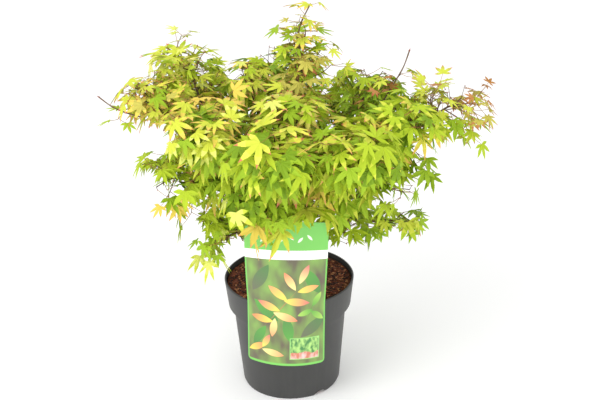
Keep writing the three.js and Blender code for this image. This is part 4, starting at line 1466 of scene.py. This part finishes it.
    def clear_of_sky(self, points, spare):
        """Points that leave the clearings open, with some to spare."""
        eye = CAMERA_PLACE / MM
        share = eye[1] / (eye[1] - points[:, 1])
        seen = eye + (points - eye) * share[:, None]
        open_sky = np.ones(len(points), bool)
        for x, z, radius in CLEARINGS:
            open_sky &= np.hypot(seen[:, 0] - x, seen[:, 2] - z) > radius + spare
        return open_sky


def add_leaf(heap, rng, leaf, slots, droop):
    """One leaf and its stalk, in millimetres. Slots: blade, middle, tips and stalk."""
    node, joint, along, side, normal, blade = leaf
    flat, faces, places, lift = TEMPLATES[int(rng.integers(len(TEMPLATES)))]
    out = np.hypot(flat[:, 0], flat[:, 1])
    height = lift - droop * rng.uniform(0.4, 1.6) * out**1.8
    shape = np.outer(flat[:, 0], along) + np.outer(flat[:, 1], side) + np.outer(height, normal)
    heap.add(joint + shape * blade, faces, [slots[place] for place in places])
    middle = (node + joint) / 2 - np.array([0, 0, 0.06]) * np.linalg.norm(joint - node)
    heap.add(*tube([node, middle, joint + 0.03 * blade * along], [0.5, 0.38, 0.36], 3), slots[3])


def swung(along, degrees, rise):
    """A direction turned about the upright and lifted."""
    c, s = math.cos(math.radians(degrees)), math.sin(math.radians(degrees))
    x, y, z = along
    return unit(np.array([x * c - y * s, x * s + y * c, z + rise]))


class Mass:
    """One mass of foliage: its stem and twigs, and the leaves on them."""

    def __init__(self, mass, crown, palette, settings):
        self.mass, self.crown, self.settings = mass, crown, settings
        self.name, _, self.half, _, _, self.tint = mass
        index = [m[0] for m in MASSES].index(self.name)
        self.draw = seeded(index + 11)
        self.rng = np.random.default_rng(index + 100)
        self.palette = palette
        self.twigs, self.leaves, self.sockets, self.growths = Heap(), Heap(), [], []
        bough, (_, self.bough_tip) = LIMBS[self.name]
        self.bough = bough
        middle = MIDDLES[self.name]
        outward = unit(middle - CROWN_HEART)
        start, onward = bough.at(1), bough.along(1)
        reach = np.linalg.norm(start + 0.3 * onward - middle)
        self.stem = bezier(
            start, start + 0.45 * reach * onward, middle - 0.1 * self.half[0] * outward,
            middle + 0.26 * self.half[0] * outward,
        )

    def tints(self, names):
        """The slots of a leaf's three tints and of its stalk."""
        return [self.palette.index(name) for name in (*names.split(), "stalk")]

    def spray_tints(self):
        rows = SPRAY_TINTS[MOODS.get(self.name, self.tint)]
        weights = np.array([weight for _, weight in rows], float)
        return self.tints(rows[self.rng.choice(len(rows), p=weights / weights.sum())][0])

    def wood(self, curve, base, tip, sides, steps, knots=()):
        """A twig's wood as far as it is used, from its radius at the base to that at the tip."""
        shares = np.linspace(0, min(1, curve.used or 1), steps + 1)
        radii = base + (tip - base) * shares
        for knot in knots:
            radii *= 1 + 0.35 * np.exp(-(((shares - knot) * steps) ** 2))
        self.twigs.add(*tube(curve.at(shares), radii, sides), 0)

    def bud(self, place, along, long):
        rings = [place, place + 0.35 * long * along, place + long * along]
        self.twigs.add(*tube(rings, [0.45, 0.9, 0.15], 5), 1)

    def socket(self, curve, share, tints, scale=1.0, limit=1.0):
        """Keeps a place for a pair of leaves, until all are set from the outside inwards."""
        self.sockets.append((curve, share, tints, scale, limit))

    def set_pair(self, curve, share, tints, scale=1.0, limit=1.0, free=False, tip=False):
        """Two leaves on opposite sides, and at a tip now and then a third between them."""
        along = curve.along(share)
        scale *= LEAF_SIZES.get(self.name, 1)
        hands = [(1, scale), (-1, scale)]
        if tip and share > 0.9 and self.rng.random() < 0.5:
            hands.append((0, 0.8 * scale))
        for hand, size in hands:
            node = curve.at(share) + along * hand * 0.5
            leaf = self.crown.best(self.rng, self.mass, node, along, hand, size, free, limit)
            if leaf:
                add_leaf(self.leaves, self.rng, leaf, tints, self.settings.droop)
                curve.used = max(curve.used, share + 0.02)

    def reaching(self, node, heading, full, loose=0.0):
        """A slightly arched twig, shortened until it keeps to the mass."""
        for share in (1, 0.8, 0.64, 0.5, 0.4):
            tip = node + heading * share * full
            inside = depth_in_cell(self.name, tip[None])[0] > -20 * loose
            inside &= reach_in_mass(self.mass, tip[None])[0] < 1 + loose
            if inside and self.crown.clear_of_pot(tip[None])[0]:
                bow = (node + tip) / 2 + np.array([0, 0, 0.05]) * share * full
                return bezier(node, bow, tip)
        return None

    def side_pair(self, curve, row, draw, loose=0.0):
        at, spread, rises, full = row
        along = curve.along(at)
        for hand in (1, -1):
            turn = (spread + draw(-8, 8)) * hand
            heading = swung(along, turn, rises[0 if hand > 0 else 1] + draw(-0.12, 0.12))
            node = curve.at(at) + along * hand * TWIG_SPACING / 2
            twig = self.reaching(node, heading, full * self.half[1], loose)
            if twig:
                self.grow_twig(twig, loose)

    def grow_twig(self, twig, loose=0.0):
        """A side twig with finer twigs in opposite pairs, each ending in a pair of leaves."""
        rng = self.rng
        limit = rng.uniform(0.8, 1.1) + loose
        tints = self.spray_tints()
        for share in TWIG_LEAVES:
            self.socket(twig, share, tints, 1.0, limit)
        fines = []
        for share in FINE_TWIGS:
            for hand in (1, -1):
                turn = rng.uniform(36, 64) * hand
                heading = swung(twig.along(share), turn, rng.uniform(-0.22, 0.26))
                long = rng.uniform(0.42, 0.62) * self.half[1] * (1.1 - 0.5 * share)
                fine = self.reaching(twig.at(share), heading, long, loose)
                if not fine:
                    continue
                fines.append((share, fine))
                spray = tints if rng.random() < 0.4 else self.spray_tints()
                limit = rng.uniform(0.74, 1.12) + loose
                self.socket(fine, 0.97, spray, 1.0, limit)
                if fine.run[-1] > 13:
                    self.socket(fine, 0.5, spray, 0.9, limit)
        self.growths.append((twig, fines))

    def harden(self):
        """The wood of the side and fine twigs, each as far as its last leaf."""
        for twig, fines in self.growths:
            for share, fine in fines:
                if fine.used:
                    twig.used = max(twig.used, share)
                    self.wood(fine, *FINE_RADIUS, 4, 3)
                    self.bud(fine.at(fine.used), fine.along(fine.used), 2.2)
            if twig.used:
                self.wood(twig, *TWIG_RADIUS, 6, 9, FINE_TWIGS)

    def grow_shoot(self):
        """The long shoot that stands out of the crown, with its buds."""
        points, pairs = SHOOTS[self.name]
        curve = line_through([self.stem.at(0.9), *points])
        tip = curve.at(1)
        self.wood(curve, *SHOOT_RADIUS, 6, 24, [0.35 + 0.2 * i for i in range(1, 4)])
        onward = curve.along(1)
        self.bud(tip - 1.5 * onward, onward, 4.5)
        for lean in (0.5, -0.5):
            self.bud(tip - 2.5 * onward, unit(onward + (lean, 0, 0.1)), 3)
        for i in range(pairs, 0, -1):
            tints = self.tints("spring honey rose")
            self.set_pair(curve, 0.3 + 0.7 * i / pairs, tints, 0.85, free=True)

    def grow(self):
        self.wood(self.stem, self.bough_tip, STEM_TIP_RADIUS, 8, 16, STEM_KNOTS)
        for row in TWIG_PAIRS:
            self.side_pair(self.stem, row, self.draw)
        for row in FINE_PAIRS:
            self.side_pair(self.stem, row, self.rng.uniform)
        for row in BOUGH_PAIRS:
            self.side_pair(self.bough, row, self.rng.uniform, loose=0.5)
        self.socket(self.stem, 0.99, self.spray_tints())
        for share in STEM_LEAVES:
            self.socket(self.stem, share, self.spray_tints(), 0.95)
        if self.name in SHOOTS:
            self.grow_shoot()
        for owner, share, points, pairs, scale, tones in SPRAYS:
            if owner == self.name:
                curve = line_through([self.stem.at(share), *points])
                self.wood(curve, *SPRAY_RADIUS, 5, 12)
                for i in range(pairs, 0, -1):
                    tints = self.tints(tones)
                    self.set_pair(curve, 0.4 + 0.6 * i / pairs, tints, scale, free=True)
        self.sockets.sort(key=lambda s: -np.linalg.norm(s[0].at(s[1]) - CROWN_HEART))
        for scale in (1, 0.8):
            for curve, share, tints, size, limit in self.sockets:
                self.set_pair(curve, share, tints, size * scale, limit, tip=scale == 1)
        self.harden()


def twig_materials():
    if "twig bark" not in bpy.data.materials:
        brown = rgb(104, 73, 50)
        tones = (shade(brown, 0.5), brown, rgb(140, 120, 70))
        mottled("twig bark", 0.6, 160.0, *tones, bump=0.3)
        red = rgb(150, 70, 48)
        mottled("bud scale", 0.5, 300.0, shade(red, 0.6), red, shade(red, 1.4), bump=0.2)
    return [bpy.data.materials["twig bark"], bpy.data.materials["bud scale"]]


def leaf_materials():
    """Plain tints with a fine uneven relief."""
    made = {}
    for name, tone in LEAF_TINTS.items():
        material, tree, shader = new_material(f"leaf {name}", 0.55, Specular_IOR_Level=0.16)
        shader.inputs["Base Color"].default_value = (*rgb(*tone), 1)
        cells = noise(tree, object_place(tree), 260.0, 2.0)
        emboss(tree, shader, cells, 0.25, 0.0006)
        tree.links.new(maths(tree, "MULTIPLY_ADD", cells, 0.3, 0.4), shader.inputs["Roughness"])
        made[name] = material
    return made


class MAPLE_OT_crown(bpy.types.Operator):
    """Grows every mass of foliage: twigs from the boughs' tips, and leaves in opposite pairs"""

    bl_idname = "maple.crown"
    bl_label = "Twigs and leaves"

    def execute(self, context):
        settings = context.scene.maple_leaves
        crown = Crown(settings)
        tints = leaf_materials()
        for row in MASSES:
            mass = Mass(row, crown, list(tints), settings)
            mass.grow()
            twigs = mass.twigs.piece(f"twigs_{mass.name}", twig_materials())
            pick(twigs)
            bpy.ops.object.shade_smooth_by_angle(angle=math.radians(60))
            finish_piece(twigs, "bark")
            leaves = mass.leaves.piece(f"leaves_{mass.name}", list(tints.values()))
            finish_piece(leaves, f"foliage_{mass.tint}", f"foliage_{mass.name}")
        return {"FINISHED"}


# The stage


# The lamps: name, place, width in metres, power against the key's
LAMPS = [("key", (-1.3, -1.3, 2.0), 1.4, 1.0), ("front", (0.5, -2.1, 0.7), 1.6, 0.56)]
LAMP_AIM = (0, 0, 0.3)


class MAPLE_OT_stage(bpy.types.Operator):
    """Lays the pale floor, sets the soft lights and places the camera"""

    bl_idname = "maple.stage"
    bl_label = "Stage"

    def execute(self, context):
        size = context.scene.maple_stage
        clear_selection()
        bpy.ops.mesh.primitive_plane_add(size=8, location=(0, 0, 0))
        floor = named(context.object, "floor")
        edit()
        bpy.ops.mesh.subdivide(number_cuts=8)
        leave_edit()
        material, tree, shader = new_material("floor", 0.9)
        cloud = noise(tree, object_place(tree), 1.5, 2.0)
        pale = mixed(
            tree, cloud, (*shade(size.floor_colour, 0.99), 1), (*shade(size.floor_colour, 1.01), 1)
        )
        tree.links.new(pale, shader.inputs["Base Color"])
        floor.data.materials.append(material)
        self.light(context, size)
        self.place_camera(context)
        return {"FINISHED"}

    def light(self, context, size):
        world = bpy.data.worlds.new("studio")
        world.use_nodes = True
        background = world.node_tree.nodes["Background"]
        background.inputs[0].default_value = (1, 1, 1, 1)
        background.inputs[1].default_value = size.surround
        context.scene.world = world
        for name, place, wide, power in LAMPS:
            lamp = bpy.data.lights.new(name, "AREA")
            lamp.shape = "DISK"
            lamp.size = wide
            lamp.energy = power * size.key
            thing = bpy.data.objects.new(name, lamp)
            thing.location = place
            aim = Vector(LAMP_AIM) - Vector(place)
            thing.rotation_euler = aim.to_track_quat("-Z", "Y").to_euler()
            context.scene.collection.objects.link(thing)

    def place_camera(self, context):
        lens = bpy.data.cameras.new("photo view")
        lens.sensor_width = SENSOR_WIDTH
        lens.lens = FOCAL_LENGTH
        camera = bpy.data.objects.new("photo view", lens)
        camera.location = CAMERA_PLACE
        sight = Vector(CAMERA_AIM) - Vector(CAMERA_PLACE)
        turn = sight.to_track_quat("-Z", "Y").to_matrix()
        right, upward, _ = turn.col
        roll = math.radians(CAMERA_ROLL)
        c, s = math.cos(roll), math.sin(roll)
        turn.col[0], turn.col[1] = right * c + upward * s, upward * c - right * s
        camera.rotation_euler = turn.to_euler()
        context.scene.collection.objects.link(camera)
        context.scene.camera = camera
        context.scene.view_settings.view_transform = "Standard"


class MAPLE_PT_sidebar(bpy.types.Panel):
    """The maple's pieces and their sizes"""

    bl_idname = "MAPLE_PT_sidebar"
    bl_label = "Potted maple"
    bl_space_type = "VIEW_3D"
    bl_region_type = "UI"
    bl_category = "Maple"

    def draw(self, context):
        for name, _, operator in PARTS:
            box = self.layout.box()
            settings = getattr(context.scene, name)
            for key in settings.bl_rna.properties.keys():
                if key not in ("name", "rna_type"):
                    box.prop(settings, key)
            box.operator(operator.bl_idname)


# The scene's property, its group and the operator that uses it
PARTS = [
    ("maple_pot", MaplePot, MAPLE_OT_pot),
    ("maple_compost", MapleCompost, MAPLE_OT_compost),
    ("maple_label", MapleLabel, MAPLE_OT_label),
    ("maple_wood", MapleWood, MAPLE_OT_wood),
    ("maple_leaves", MapleLeaves, MAPLE_OT_crown),
    ("maple_stage", MapleStage, MAPLE_OT_stage),
]


def register():
    for name, group, operator in PARTS:
        bpy.utils.register_class(group)
        bpy.utils.register_class(operator)
        setattr(bpy.types.Scene, name, PointerProperty(type=group))
    bpy.utils.register_class(MAPLE_PT_sidebar)


def unregister():
    bpy.utils.unregister_class(MAPLE_PT_sidebar)
    for name, group, operator in reversed(PARTS):
        delattr(bpy.types.Scene, name)
        bpy.utils.unregister_class(operator)
        bpy.utils.unregister_class(group)


def main():
    register()
    bpy.ops.maple.pot()
    bpy.ops.maple.compost()
    bpy.ops.maple.label()
    bpy.ops.maple.wood()
    bpy.ops.maple.crown()
    bpy.ops.maple.stage()


if __name__ == "__main__":
    main()
